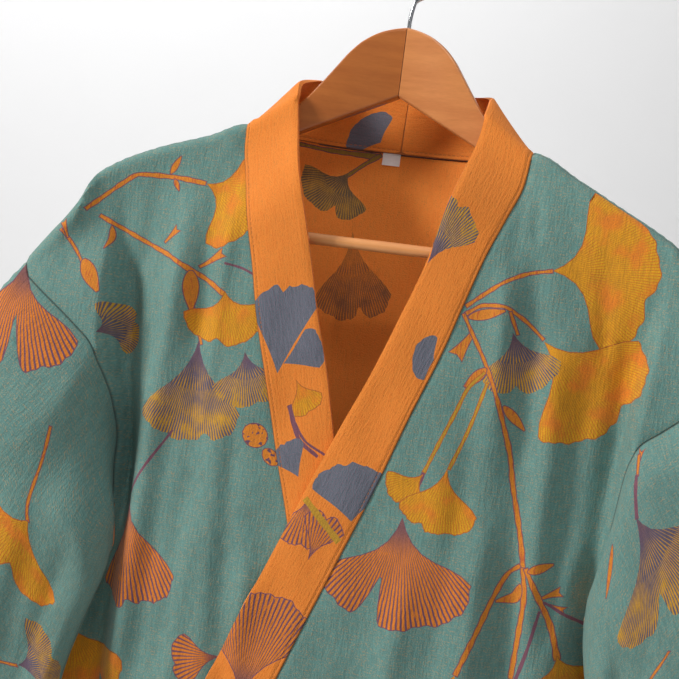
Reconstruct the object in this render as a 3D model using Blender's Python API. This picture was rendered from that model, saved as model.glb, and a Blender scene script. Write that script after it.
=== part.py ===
# A kimono robe hanging on a contoured wooden hanger, in metres, +Z up.
# The origin is the seat of the hook. The front faces -Y, and +X is the wearer's left side.
import math
import bpy
import numpy as np
from mathutils import Vector
from mathutils.geometry import delaunay_2d_cdt

apex_z = -0.121          # lower point of the hanger's centre, under the hook seat
cloth_wall = 0.0016      # double woven gauze
band_wall = 0.0028       # folded neck band
band_proud = 0.0006      # how far the band's face stands out of the cloth
seam_gap = 0.0003
sleeve_gap = 0.0006      # between a sleeve and its armhole
underarm_gap = 0.0040    # more room where three walls meet under the arm
robe_length = 1.18       # hem under the apex
side_round = 0.024       # rounding where front and back meet at the side
over_lift = 0.0056       # how far the upper front lies in front of the lower one
step_width = 0.017       # wall between the body and the fold beside each tip
panel_grid = 0.0240       # between points on the flat of a panel
seam_grid = 0.0230        # between points along the band's seam
sleeve_wall = 0.0016
label_size = (0.0150, 0.0110, 0.0006)
label_gap = 0.0005       # between the tag and the back
wire_radius = 0.0017
hook_radius = 0.0190     # inside the bend of the hook
bar_radius = 0.0046
bar_z = -0.1225
bar_y = -0.0390
armhole_steps = 16       # from the shoulder to the underarm, front and back
neck_out = 0.1155        # where the shoulder seam meets the neck, from the centre

# The top line of the cloth, from the centre out, under the apex:
# distance from the centre, height, depth, rounding down, rounding across.
top_line = {
    -1: (
        (0.000, -0.0405, 0.037, 0.0010, 0.0010),
        (0.030, -0.0403, 0.035, 0.0010, 0.0010),
        (0.060, -0.0398, 0.028, 0.0012, 0.0012),
        (0.090, -0.0385, 0.013, 0.0025, 0.0025),
        (0.108, -0.0365, -0.008, 0.0070, 0.0070),
        (0.117, -0.0350, -0.022, 0.0105, 0.0105),
        (0.148, -0.0485, -0.029, 0.0105, 0.0105),
        (0.189, -0.0640, -0.0365, 0.0105, 0.0105),
        (0.226, -0.0840, -0.043, 0.0110, 0.0112),
        (0.235, -0.0930, -0.047, 0.0150, 0.0130),
        (0.241, -0.1080, -0.047, 0.0230, 0.0180),
        (0.252, -0.1260, -0.047, 0.0290, 0.0220),
        (0.266, -0.1440, -0.047, 0.0330, 0.0240),
        (0.286, -0.1730, -0.047, 0.0350, 0.0260),
        (0.304, -0.2110, -0.047, 0.0380, 0.0260),
    ),
    1: (
        (0.000, -0.0405, 0.037, 0.0010, 0.0010),
        (0.030, -0.0403, 0.035, 0.0010, 0.0010),
        (0.060, -0.0398, 0.028, 0.0012, 0.0012),
        (0.090, -0.0385, 0.013, 0.0025, 0.0025),
        (0.108, -0.0362, -0.008, 0.0070, 0.0070),
        (0.117, -0.0335, -0.022, 0.0105, 0.0105),
        (0.158, -0.0525, -0.031, 0.0105, 0.0105),
        (0.193, -0.0705, -0.037, 0.0105, 0.0105),
        (0.228, -0.0890, -0.043, 0.0110, 0.0112),
        (0.240, -0.0970, -0.047, 0.0140, 0.0130),
        (0.251, -0.1120, -0.047, 0.0220, 0.0180),
        (0.262, -0.1300, -0.047, 0.0280, 0.0220),
        (0.277, -0.1560, -0.047, 0.0330, 0.0240),
        (0.294, -0.1890, -0.047, 0.0350, 0.0260),
        (0.306, -0.2150, -0.047, 0.0380, 0.0260),
    ),
}

# The foot of the wall beside the tip, by height, and the side seam under the arm.
fold_foot = {
    -1: ((-1.20, 0.186), (-0.42, 0.180), (-0.36, 0.185), (-0.27, 0.190), (-0.22, 0.194),
         (-0.18, 0.198), (-0.12, 0.204), (0.0, 0.207)),
    1: ((-1.20, 0.208), (-0.42, 0.203), (-0.35, 0.208), (-0.27, 0.212), (-0.24, 0.214),
        (-0.17, 0.221), (-0.12, 0.228), (0.0, 0.231)),
}
side_edge = {
    -1: ((-1.20, 0.300), (-0.90, 0.288), (-0.62, 0.264), (-0.56, 0.257), (-0.48, 0.246),
         (-0.45, 0.233), (-0.41, 0.205), (-0.38, 0.190), (-0.34, 0.198), (-0.28, 0.232),
         (-0.22, 0.300), (0.0, 0.400)),
    1: ((-1.20, 0.305), (-0.90, 0.294), (-0.62, 0.272), (-0.56, 0.266), (-0.48, 0.256),
        (-0.45, 0.244), (-0.41, 0.219), (-0.38, 0.213), (-0.34, 0.221), (-0.28, 0.252),
        (-0.22, 0.320), (0.0, 0.420)),
}

# The armhole seams from the shoulder to the underarm, as distance out and height.
front_armhole = {
    -1: ((0.2860, -0.1730), (0.2660, -0.1870), (0.2431, -0.2030), (0.2260, -0.2160),
         (0.2110, -0.2290), (0.2015, -0.2480), (0.1955, -0.2750), (0.1925, -0.3100),
         (0.1935, -0.3480), (0.2037, -0.3800)),
    1: ((0.2940, -0.1890), (0.2760, -0.2085), (0.2564, -0.2260), (0.2430, -0.2375),
        (0.2310, -0.2475), (0.2225, -0.2650), (0.2185, -0.2920), (0.2160, -0.3230),
        (0.2165, -0.3540), (0.2267, -0.3800)),
}
back_armhole = {
    -1: ((0.2860, -0.1730), (0.2660, -0.1960), (0.2460, -0.2200), (0.2300, -0.2450),
         (0.2180, -0.2750), (0.2090, -0.3100), (0.2045, -0.3480), (0.2037, -0.3800)),
    1: ((0.2940, -0.1890), (0.2770, -0.2130), (0.2620, -0.2360), (0.2480, -0.2600),
        (0.2370, -0.2880), (0.2300, -0.3200), (0.2270, -0.3520), (0.2267, -0.3800)),
}

# The band on the fronts, from the hem up: outer edge, then inner edge, across and height.
band_front = {
    1: ((-0.1200, -1.180, -0.1670, -1.180), (-0.1200, -0.950, -0.1670, -0.950),
        (-0.1150, -0.800, -0.1620, -0.800), (-0.0950, -0.670, -0.1420, -0.664),
        (-0.0610, -0.560, -0.1080, -0.550), (-0.0280, -0.4704, -0.0755, -0.4600),
        (-0.0090, -0.4180, -0.0560, -0.4080), (0.0150, -0.3540, -0.0300, -0.3400),
        (0.0360, -0.2950, -0.0040, -0.2740), (0.0530, -0.2450, 0.0180, -0.2220),
        (0.0695, -0.1980, 0.0365, -0.1700), (0.0822, -0.1559, 0.0500, -0.1290),
        (0.0939, -0.1174, 0.0600, -0.0850), (0.1040, -0.0880, 0.0685, -0.0500),
        (0.1130, -0.0590, 0.0738, -0.0260), (0.1168, -0.0430, 0.0755, -0.0080)),
    -1: ((0.1200, -1.172, 0.1670, -1.172), (0.1200, -0.950, 0.1670, -0.950),
         (0.1150, -0.800, 0.1620, -0.800), (0.0930, -0.690, 0.1390, -0.685),
         (0.0500, -0.570, 0.0960, -0.560), (0.0080, -0.475, 0.0530, -0.460),
         (-0.0150, -0.410, 0.0290, -0.395), (-0.0353, -0.343, 0.0080, -0.328),
         (-0.0501, -0.293, -0.0066, -0.277), (-0.0658, -0.236, -0.0200, -0.224),
         (-0.0780, -0.195, -0.0335, -0.178), (-0.0890, -0.148, -0.0450, -0.132),
         (-0.0990, -0.1102, -0.0575, -0.089), (-0.1075, -0.0790, -0.0690, -0.051),
         (-0.1135, -0.0560, -0.0750, -0.026), (-0.1160, -0.0430, -0.0785, -0.009)),
}
# Over the shoulder and round the back of the neck: where the seam is, then the free edge,
# across, depth and height.
band_back = {
    1: ((0.1135, 0.0765, -0.0110, 0.0060), (0.1060, 0.0745, 0.0050, 0.0090),
        (0.0900, 0.0660, 0.0200, 0.0105), (0.0600, 0.0480, 0.0340, 0.0105),
        (0.0300, 0.0250, 0.0415, 0.0080), (0.0000, 0.0000, 0.0435, 0.0062)),
    -1: ((0.1135, -0.0820, -0.0110, 0.0045), (0.1060, -0.0790, 0.0050, 0.0085),
         (0.0900, -0.0680, 0.0200, 0.0105), (0.0600, -0.0480, 0.0340, 0.0105),
         (0.0300, -0.0250, 0.0415, 0.0080), (0.0000, 0.0000, 0.0435, 0.0062)),
}

# Soft folds, each along a line: start across and height, end across and height, half width, depth.
front_folds = (
    (-0.150, -0.080, -0.156, -0.520, 0.016, -0.0050),
    (-0.118, -0.100, -0.128, -0.560, 0.015, 0.0040),
    (-0.088, -0.200, -0.092, -0.560, 0.018, -0.0035),
    (0.142, -0.080, 0.146, -0.560, 0.015, 0.0045),
    (0.172, -0.110, 0.170, -0.560, 0.014, -0.0050),
    (0.110, -0.160, 0.098, -0.600, 0.018, -0.0035),
    (-0.190, -0.600, -0.204, -1.300, 0.024, -0.0120),
    (-0.140, -0.560, -0.150, -1.300, 0.022, 0.0070),
    (-0.060, -0.640, -0.050, -1.300, 0.026, -0.0070),
    (0.020, -0.600, 0.034, -1.300, 0.026, 0.0060),
    (0.100, -0.600, 0.104, -1.300, 0.026, -0.0070),
    (0.214, -0.580, 0.236, -1.300, 0.024, 0.0100),
)
back_folds = (
    (-0.150, -0.120, -0.160, -1.300, 0.024, 0.0090),
    (-0.095, -0.150, -0.105, -1.300, 0.024, -0.0070),
    (-0.030, -0.100, -0.036, -1.300, 0.026, 0.0060),
    (0.035, -0.160, 0.040, -1.300, 0.024, -0.0060),
    (0.095, -0.120, 0.105, -1.300, 0.026, 0.0080),
    (0.165, -0.140, 0.178, -1.300, 0.024, -0.0080),
)

# Sleeve sections from the armhole to the cuff: part of the way, outer edge across and height,
# inner edge across and height, depth of the middle, half depth.
sleeve_rows = {
    -1: ((0.00, 0.286, -0.173, 0.190, -0.380, -0.042, 0.028),
         (0.08, 0.2995, -0.2035, 0.1985, -0.399, -0.061, 0.024),
         (0.25, 0.326, -0.266, 0.200, -0.432, -0.065, 0.022),
         (0.50, 0.354, -0.360, 0.203, -0.488, -0.070, 0.021),
         (0.75, 0.374, -0.450, 0.211, -0.540, -0.078, 0.021),
         (1.00, 0.387, -0.540, 0.219, -0.588, -0.084, 0.023)),
    1: ((0.00, 0.294, -0.189, 0.213, -0.380, -0.042, 0.028),
        (0.08, 0.3065, -0.2190, 0.2180, -0.397, -0.060, 0.024),
        (0.25, 0.330, -0.281, 0.222, -0.432, -0.065, 0.022),
        (0.50, 0.357, -0.373, 0.226, -0.488, -0.070, 0.021),
        (0.75, 0.376, -0.461, 0.233, -0.540, -0.078, 0.021),
        (1.00, 0.388, -0.549, 0.241, -0.588, -0.084, 0.023)),
}
# Folds on a sleeve: place round it in turns from the inner seam over the front,
# start and end along it, half width in turns, depth.
sleeve_folds = (
    (0.17, 0.10, 1.00, 0.040, -0.0050),
    (0.30, 0.25, 1.00, 0.045, 0.0045),
    (0.66, 0.15, 1.00, 0.045, -0.0050),
    (0.82, 0.30, 1.00, 0.045, 0.0045),
)

# One wooden arm, from the centre out: across, top, bottom, depth of its middle, half thickness.
wood_rows = (
    (0.00025, 0.0575, 0.0005, -0.0006, 0.0072),
    (0.0080, 0.0560, -0.0035, -0.0014, 0.0072),
    (0.0200, 0.0520, -0.0095, -0.0032, 0.0071),
    (0.0340, 0.0430, -0.0166, -0.0058, 0.0070),
    (0.0435, 0.0330, -0.0214, -0.0076, 0.0069),
    (0.0520, 0.0210, -0.0257, -0.0092, 0.0068),
    (0.0610, 0.0080, -0.0302, -0.0110, 0.0067),
    (0.0710, -0.0055, -0.0355, -0.0131, 0.0065),
    (0.0800, -0.0160, -0.0404, -0.0150, 0.0064),
    (0.0980, -0.0305, -0.0505, -0.0185, 0.0062),
    (0.1180, -0.0425, -0.0615, -0.0227, 0.0062),
    (0.1400, -0.0535, -0.0735, -0.0273, 0.0062),
    (0.1700, -0.0680, -0.0893, -0.0335, 0.0062),
    (0.2000, -0.0840, -0.1063, -0.0385, 0.0062),
    (0.2060, -0.0874, -0.1095, -0.0393, 0.0060),
    (0.2070, -0.0880, -0.1290, -0.0395, 0.0060),
    (0.2150, -0.0930, -0.1310, -0.0402, 0.0060),
    (0.2195, -0.0980, -0.1260, -0.0406, 0.0052),
)
wood_corner = 0.0022
hook_path = (
    (0.0000, -0.0632), (0.0002, -0.0560), (0.0010, -0.0490), (0.0024, -0.0425), (0.0054, -0.0395),
)


def step(value):
    t = np.clip(value, 0.0, 1.0)
    return t * t * (3.0 - 2.0 * t)


def curve(xs, ys, x):
    """A smooth line through the points that never overshoots them."""
    xs = np.asarray(xs, float)
    ys = np.asarray(ys, float)
    width = np.diff(xs)
    slope = np.diff(ys) / width
    bend = np.zeros(len(xs))
    for i in range(1, len(xs) - 1):
        if slope[i - 1] * slope[i] > 0:
            a = 2.0 * width[i] + width[i - 1]
            b = width[i] + 2.0 * width[i - 1]
            bend[i] = (a + b) / (a / slope[i - 1] + b / slope[i])
    bend[0] = slope[0]
    bend[-1] = slope[-1]
    x = np.clip(x, xs[0], xs[-1])
    k = np.clip(np.searchsorted(xs, x, side="right") - 1, 0, len(width) - 1)
    t = (x - xs[k]) / width[k]
    start = (1 + 2 * t) * (1 - t) ** 2 * ys[k] + t * t * (3 - 2 * t) * ys[k + 1]
    return start + width[k] * (t * (1 - t) ** 2 * bend[k] - t * t * (1 - t) * bend[k + 1])


def by_side(table, column, key, x, at):
    """A column of a left and right table, read at the given places on the side that x is on."""
    left = np.array(table[-1])
    right = np.array(table[1])
    on_left = curve(left[:, key], left[:, column], at)
    on_right = curve(right[:, key], right[:, column], at)
    return np.where(x < 0, on_left, on_right)


def along(points, part):
    """Places along a path of points, by parts of its length."""
    points = np.asarray(points, float)
    run = np.concatenate([[0.0], np.cumsum(np.linalg.norm(np.diff(points, axis=0), axis=1))])
    columns = [curve(run / run[-1], points[:, i], part) for i in range(points.shape[1])]
    return np.stack(columns, axis=-1)


def fold_depth(folds, x, z):
    total = np.zeros(np.shape(x))
    for x0, z0, x1, z1, half, depth in folds:
        t = (z0 - z) / (z0 - z1)
        across = (x - (x0 + (x1 - x0) * t)) / half
        total = total + depth * np.exp(-across ** 2) * step(t / 0.25) * step((1 - t) / 0.2)
    return total


def cloth_point(layer, x, z):
    """A point on the outer face of a body panel. x and z are flat places on the panel seen from
    the front, with the rounded shoulder and side laid out flat."""
    x = np.asarray(x, float)
    z = np.asarray(z, float)
    out = np.abs(x)
    round_z = by_side(top_line, 3, 0, x, out)
    round_y = by_side(top_line, 4, 0, x, out)
    top = by_side(top_line, 1, 0, x, out)
    mid = by_side(top_line, 2, 0, x, out)
    if layer != "back":
        top = np.where(out < 0.117, np.maximum(top, -0.0345 + (0.117 - out) * 1.05), top)
        mid = np.where(out < 0.117, -0.022 * out / 0.117, mid)
        round_z = np.where(out < 0.117, 0.0105, round_z)
        round_y = np.where(out < 0.117, 0.0105 + 0.0020 * step((0.117 - out) / 0.03), round_y)
    turn = np.where(z > top - round_z, math.pi / 2 - (z - top + round_z) / round_z, math.pi / 2)
    height = np.where(z > top - round_z, top - round_z + round_z * np.cos(turn), z)
    edge = by_side(side_edge, 1, 0, x, height)
    start = edge - side_round
    close = np.where(out > start, math.pi / 2 - (out - start) / side_round, math.pi / 2)
    reach = np.where(out > start, edge - side_round * (1 - np.cos(close)), out)
    drop = np.maximum(top - height, 0.0)
    foot = by_side(fold_foot, 1, 0, x, height)
    wing = step((reach - foot) / step_width) * step((-height - 0.095) / 0.075)
    wing = wing * (1 - step((-height - 0.33) / 0.07))
    if layer == "back":
        chest = 0.020 - 0.018 * (np.minimum(reach, 0.21) / 0.20) ** 2 - 0.004 * step((-height - 0.5) / 0.5)
        chest = chest + fold_depth(back_folds, x, height)
        wing_y = -0.028 + 0.010 * step((-height - 0.15) / 0.10)
        wing = wing * 0.6
        hang = mid + round_y * np.sin(turn)
        fall = step(drop / 0.24)
    else:
        chest = -0.059 + 0.0140 * step((reach - 0.13) / 0.065)
        chest = chest + fold_depth(front_folds, x, height)
        chest = chest + 0.016 * step((reach - 0.176) / 0.038) * step((-height - 0.36) / 0.072)
        wing_y = -0.059 - 0.017 * step((-height - 0.12) / 0.10)
        hang = mid - round_y * np.sin(turn)
        fall = step(drop / 0.12)
    y = hang + (chest - hang) * fall
    y = y + (wing_y - y) * wing * step((drop - 0.004) / 0.030)
    middle = -0.034 + 0.018 * step((-height - 0.38) / 0.080)
    y = middle + (y - middle) * np.sin(close)
    if layer == "over":
        limit = 0.10 + 0.06 * step((-height - 0.20) / 0.26) + 0.06 * step((-height - 0.46) / 0.16)
        y = y - over_lift * step((limit - x) / 0.05) * step((drop - 0.02) / 0.10)
    side = np.where(x < 0, -1.0, 1.0)
    return np.stack([side * reach, y, height + apex_z], axis=-1)


def normals(point_at, u, v, outward=1.0):
    """Directions square to a face, from points a little way along it."""
    e = 0.0008
    du = point_at(u + e, v) - point_at(u - e, v)
    dv = point_at(u, v + e) - point_at(u, v - e)
    n = np.cross(du, dv) * outward
    return n / np.maximum(np.linalg.norm(n, axis=-1, keepdims=True), 1e-12)


def inset(outline, amount):
    """The outline, drawn in by an amount on every side. It runs anticlockwise."""
    points = np.asarray(outline, float)
    before = points - np.roll(points, 1, axis=0)
    after = np.roll(points, -1, axis=0) - points
    before = before / np.linalg.norm(before, axis=1, keepdims=True)
    after = after / np.linalg.norm(after, axis=1, keepdims=True)
    inward = np.stack([-before[:, 1] - after[:, 1], before[:, 0] + after[:, 0]], axis=1)
    size = np.maximum((inward ** 2).sum(axis=1), 0.6)
    return points + inward * (2.0 * amount / size)[:, None]


def edge_distance(p, outline):
    """How far a point lies within the outline, or a negative number outside it."""
    a = outline
    b = np.roll(outline, -1, axis=0)
    crosses = (a[:, 1] > p[1]) != (b[:, 1] > p[1])
    level = np.where(crosses, b[:, 1] - a[:, 1], 1.0)
    hits = crosses & (p[0] < a[:, 0] + (b[:, 0] - a[:, 0]) * (p[1] - a[:, 1]) / level)
    d = b - a
    t = np.clip(((p - a) * d).sum(axis=1) / np.maximum((d * d).sum(axis=1), 1e-12), 0, 1)
    near = np.linalg.norm(a + d * t[:, None] - p, axis=1).min()
    return near if hits.sum() % 2 == 1 else -near


def spread(places, outline, apart):
    """The places inside the outline, in order, without those too near its edge or each other."""
    kept = np.empty((0, 2))
    for p in np.array(places):
        clear = len(kept) == 0 or np.linalg.norm(kept - p, axis=1).min() > apart
        if clear and edge_distance(p, outline) > apart:
            kept = np.concatenate([kept, [p]])
    return kept


def flat_mesh(outline, places):
    """Triangles over a flat outline, with the places inside it."""
    points = np.concatenate([outline, spread(places, outline, 0.0052)])
    edges = [(i, (i + 1) % len(outline)) for i in range(len(outline))]
    verts, _, faces, _, _, _ = delaunay_2d_cdt([Vector(p) for p in points], edges, [], 1, 1e-7)
    return np.array([(p.x, p.y) for p in verts]), [tuple(f) for f in faces]


def shell(outer, inner, faces):
    """Two skins with the same triangles, and a rim between their borders."""
    count = len(outer)
    edges = {}
    for f in faces:
        for i in range(len(f)):
            edges[(f[i], f[(i + 1) % len(f)])] = True
    rim = [(b, a) for a, b in edges if (b, a) not in edges]
    body = [tuple(f) for f in faces] + [tuple(count + i for i in reversed(f)) for f in faces]
    for a, b in rim:
        body.append((a, b, count + b))
        body.append((a, count + b, count + a))
    return np.concatenate([outer, inner]), body


def add_object(name, points, faces, material):
    mesh = bpy.data.meshes.new(name)
    mesh.from_pydata([tuple(p) for p in points], [], faces)
    mesh.validate()
    mesh.materials.append(material)
    item = bpy.data.objects.new(name, mesh)
    bpy.context.scene.collection.objects.link(item)
    return item


def resample(points, spacing):
    points = np.asarray(points, float)
    run = np.linalg.norm(np.diff(points, axis=0), axis=1).sum()
    return along(points, np.linspace(0.0, 1.0, max(2, int(round(run / spacing)) + 1)))


def straight(a, b, spacing):
    count = max(1, int(round(np.linalg.norm(np.subtract(b, a)) / spacing)))
    return np.linspace(a, b, count + 1)


def crest(side, out):
    """The height of the top line on a panel that is laid out flat."""
    x = side * np.asarray(out, float)
    return by_side(top_line, 1, 0, x, np.abs(x)) + by_side(top_line, 3, 0, x, np.abs(x)) * (
        math.pi / 2 - 1)


def laid_top(side, layer, out):
    """The height of the shoulder seam on a panel that is laid out flat."""
    x = side * np.asarray(out, float)
    rounding = by_side(top_line, 3, 0, x, np.abs(x))
    seam = 0.35 * rounding * step((np.abs(x) - 0.106) / 0.009) * step((0.262 - np.abs(x)) / 0.03)
    return crest(side, out) + (seam if layer == "back" else -seam)


def shoulder_line(side, layer):
    tip = front_armhole[side][0][0]
    out = np.array([neck_out, 0.135, 0.155, 0.175, 0.195, 0.210, 0.221, 0.232, 0.242, 0.252,
                    0.262, 0.274, tip])
    return np.stack([side * out, laid_top(side, layer, out)], axis=1)


def armhole_line(side, table):
    line = along(table[side], np.linspace(0.0, 1.0, armhole_steps + 1))
    line[-1, 0] = side_line(side)[0, 0] * side
    line[0, 1] = float(crest(side, table[side][0][0]))
    return line * np.array([side, 1.0])


def side_line(side):
    heights = np.concatenate([np.linspace(-0.38, -0.50, 6), np.linspace(-0.50, -robe_length, 14)[1:]])
    out = by_side(side_edge, 1, 0, np.array([side]), heights) + side_round * (math.pi / 2 - 1)
    return np.stack([side * out, heights], axis=1)


def band_edge(side, inner):
    """One edge of the band on the front, as flat places from the hem to the neck point."""
    rows = np.array(band_front[side])
    picked = rows[:, 2:4] if inner else rows[:, 0:2]
    if not inner:
        layer = "over" if side > 0 else "under"
        neck = (side * neck_out, float(laid_top(side, layer, neck_out)))
        picked = np.concatenate([picked[:-1], [neck]])
    return picked


def front_outline(side):
    """The flat outline of one front, anticlockwise as seen from the front."""
    layer = "over" if side > 0 else "under"
    seam = resample(band_edge(side, False), seam_grid)
    top = shoulder_line(side, layer)
    arm = armhole_line(side, front_armhole)
    arm[0] = top[-1]
    edge = side_line(side)
    hem = straight(edge[-1], seam[0], panel_grid)
    loop = np.concatenate([seam, top[1:], arm[1:], edge[1:], hem[1:-1]])
    return loop[::-1] if side > 0 else loop


def back_outline():
    parts = []
    for side in (1, -1):
        out = np.array([0.0, 0.015, 0.030, 0.045, 0.060, 0.075, 0.090, 0.100, 0.108])
        neck = np.stack([side * out, laid_top(side, "back", out)], axis=1)
        top = shoulder_line(side, "back")
        arm = armhole_line(side, back_armhole)
        arm[0] = top[-1]
        edge = side_line(side)
        parts.append(np.concatenate([neck, top, arm[1:], edge[1:]]))
    right, left = parts
    hem = straight(left[-1], right[-1], panel_grid)
    return np.concatenate([right[::-1], left[1:], hem[1:-1]])


def panel_points(layer, outline):
    """Places inside a panel: rows that follow its shoulder, armhole and side, then columns that
    follow the foot of the wall beside each tip."""
    rounded = (np.abs(outline[:, 0]) > 0.112) | (outline[:, 1] > -0.05)
    rounded &= outline[:, 1] > 0.001 - robe_length
    if layer != "back":
        side = 1 if layer == "over" else -1
        rounded &= outline[:, 0] * side > 0
    places = []
    for amount in (0.0080, 0.0165, 0.0290):
        places += list(inset(outline, amount)[rounded])
    wall = np.array([-0.012, -0.004, 0.003, 0.009, 0.015, 0.022, 0.032, 0.046, 0.062])
    wall = wall[::2] if layer == "back" else wall
    heights = [-0.050 - 0.0110 * i for i in range(38)] + [-0.50 - 0.058 * i for i in range(12)]
    for i, z in enumerate(heights):
        for side in (1, -1):
            foot = float(by_side(fold_foot, 1, 0, side, z))
            flat = np.arange(panel_grid / 2, foot - 0.022, panel_grid)
            close = i % 2 == 1 and layer != "back" and -0.37 < z < -0.12
            if close:
                places += [(side * x, z) for x in foot + wall[1:6]]
            elif i % 2 == 0 or z < -0.49:
                places += [(side * x, z) for x in np.concatenate([foot + wall, flat])]
    return places


def build_panel(name, layer, outline, material):
    outward = -1.0 if layer == "back" else 1.0

    def face(u, v):
        return cloth_point(layer, u, v)

    flat, faces = flat_mesh(inset(outline, seam_gap / 2), panel_points(layer, outline))
    outer = face(flat[:, 0], flat[:, 1])
    inward = normals(face, flat[:, 0], flat[:, 1], outward) * cloth_wall
    if layer == "back":
        faces = [tuple(reversed(f)) for f in faces]
    points, body = shell(outer, outer - inward, faces)
    return add_object(name, points, body, material)


def band_point(side, u, v):
    """A point on the band: u runs from the hem to the shoulder at 1 and the centre back at 2,
    v from the seam to the free edge."""
    layer = "over" if side > 0 else "under"
    u = np.asarray(u, float)
    v = np.asarray(v, float)
    low = np.clip(u, 0.0, 1.0)
    outer = along(band_edge(side, False), low)
    inner = along(band_edge(side, True), low)
    flat = outer + (inner - outer) * v[..., None]
    front = cloth_point(layer, flat[..., 0], flat[..., 1])
    a = cloth_point(layer, outer[..., 0], outer[..., 1])
    b = cloth_point(layer, inner[..., 0], inner[..., 1])
    last = cloth_point(layer, *band_edge(side, True)[-1])
    rows = np.array(band_back[side])
    free = np.concatenate([[last], rows[:, 1:4] + np.array([0, 0, apex_z])])
    high = np.clip(u - 1.0, 0.0, 1.0)
    count = np.linspace(0.0, 1.0, len(free))
    out = curve(count, np.concatenate([[neck_out], rows[:, 0]]), high)
    seam = cloth_point("back", side * out, laid_top(side, "back", out))
    edge = np.stack([curve(count, free[:, i], high) for i in range(3)], axis=-1)
    ruled = seam + (edge - seam) * v[..., None]
    lower = a + (b - a) * v[..., None]
    mix = step((u - 0.86) / 0.08)[..., None]
    front = front + (lower - front) * mix
    return np.where((u > 1.0)[..., None], ruled, front)


def build_band(name, side, material):
    rows = len(resample(band_edge(side, False), seam_grid))
    us = np.concatenate([np.linspace(0.0, 1.0, rows), np.linspace(1.0, 1.9985, 15)[1:]])
    vs = np.array([0.006, 0.34, 0.67, 1.0])
    u, v = np.meshgrid(us, vs, indexing="ij")

    def face(a, b):
        return band_point(side, a, b)

    points = face(u, v).reshape(-1, 3)
    out = normals(face, u, v, -side).reshape(-1, 3)
    faces = []
    wide = len(vs)
    for i in range(len(us) - 1):
        for j in range(wide - 1):
            a = i * wide + j
            quad = (a, a + 1, a + wide + 1, a + wide)
            quad = quad if side > 0 else quad[::-1]
            faces.append((quad[0], quad[1], quad[2]))
            faces.append((quad[0], quad[2], quad[3]))
    rise = band_proud * step((u.reshape(-1) - 0.0) / 0.02)
    points, body = shell(points + out * rise[:, None], points + out * (band_proud - band_wall), faces)
    return add_object(name, points, body, material)


def armhole_loop(side):
    """Points round the armhole and their directions: up the front from the underarm, down the back."""
    layer = "over" if side > 0 else "under"
    front = armhole_line(side, front_armhole)[::-1]
    back = armhole_line(side, back_armhole)
    rings = []
    for name, line, way in ((layer, front, 1.0), ("back", back, -1.0)):
        def face(u, v, name=name):
            return cloth_point(name, u, v)
        x = line[:, 0]
        z = line[:, 1]
        rings.append((face(x, z), normals(face, x, z, way)))
    (a, an), (b, bn) = rings
    for front_end, back_end in ((0, -1), (-1, 0)):
        a[front_end] = (a[front_end] + b[back_end]) / 2
        an[front_end] = (an[front_end] + bn[back_end]) / 2
    out = np.concatenate([an, bn[1:-1]])
    return np.concatenate([a, b[1:-1]]), out / np.linalg.norm(out, axis=1, keepdims=True)


def sleeve_section(side, part, turns):
    rows = np.array(sleeve_rows[side])
    ox, oz, ix, iz, mid, half = [curve(rows[:, 0], rows[:, i], part) for i in range(1, 7)]
    angle = turns * 2 * math.pi
    across = (1 - np.cos(angle)) / 2
    deep = np.sign(np.sin(angle)) * np.abs(np.sin(angle)) ** 0.75
    x = ix + (ox - ix) * across
    z = iz + (oz - iz) * across
    y = mid - half * deep
    return np.stack([side * x, y, z + apex_z], axis=-1)


def sleeve_points(side, parts, turns):
    """Points down a sleeve, one row for each part of its length and one column round it."""
    count = len(turns)
    loop, _ = armhole_loop(side)
    first = sleeve_section(side, 0.0, turns)
    rows = []
    for part in parts:
        ring = sleeve_section(side, part, turns)
        ring = ring + (loop - first) * (1 - step(part / 0.42))
        depth = np.zeros(count)
        for place, start, end, half, amount in sleeve_folds:
            gone = (turns - place) / half
            depth = depth + amount * np.exp(-gone ** 2) * step((part - start) / 0.3)
        ring[:, 1] += -np.sign(np.sin(turns * 2 * math.pi)) * depth
        rows.append(ring)
    return np.array(rows)


def ring_normals(rows, side):
    around = np.roll(rows, -1, axis=1) - np.roll(rows, 1, axis=1)
    down = np.gradient(rows, axis=0)
    n = np.cross(down, around) * side
    return n / np.maximum(np.linalg.norm(n, axis=-1, keepdims=True), 1e-12)


def build_sleeve(name, side, material):
    count = 2 * armhole_steps
    turns = np.arange(count) / count
    parts = np.concatenate([np.linspace(0.0, 0.4, 7), np.linspace(0.4, 1.0, 6)[1:]])
    rows = sleeve_points(side, parts, turns)
    under = (1 - step(np.minimum(turns, 1 - turns) * count / 7.0))[:, None]
    run = np.linalg.norm(rows[1] - rows[0], axis=1, keepdims=True)
    rows[0] = rows[0] + (rows[1] - rows[0]) * (sleeve_gap + underarm_gap * under) / run
    out = ring_normals(rows, side)
    out[0] = out[0] * under + armhole_loop(side)[1] * (1 - under)
    out[0] = out[0] / np.linalg.norm(out[0], axis=1, keepdims=True)
    rows[2:] = rows[2:] + out[2:] * sleeve_wall
    faces = []
    for i in range(len(parts) - 1):
        for j in range(count):
            k = (j + 1) % count
            quad = (i * count + j, i * count + k, (i + 1) * count + k, (i + 1) * count + j)
            quad = quad if side < 0 else quad[::-1]
            faces.append((quad[0], quad[1], quad[2]))
            faces.append((quad[0], quad[2], quad[3]))
    outer = rows.reshape(-1, 3)
    points, body = shell(outer, outer - out.reshape(-1, 3) * sleeve_wall, faces)
    return add_object(name, points, body, material)


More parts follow.
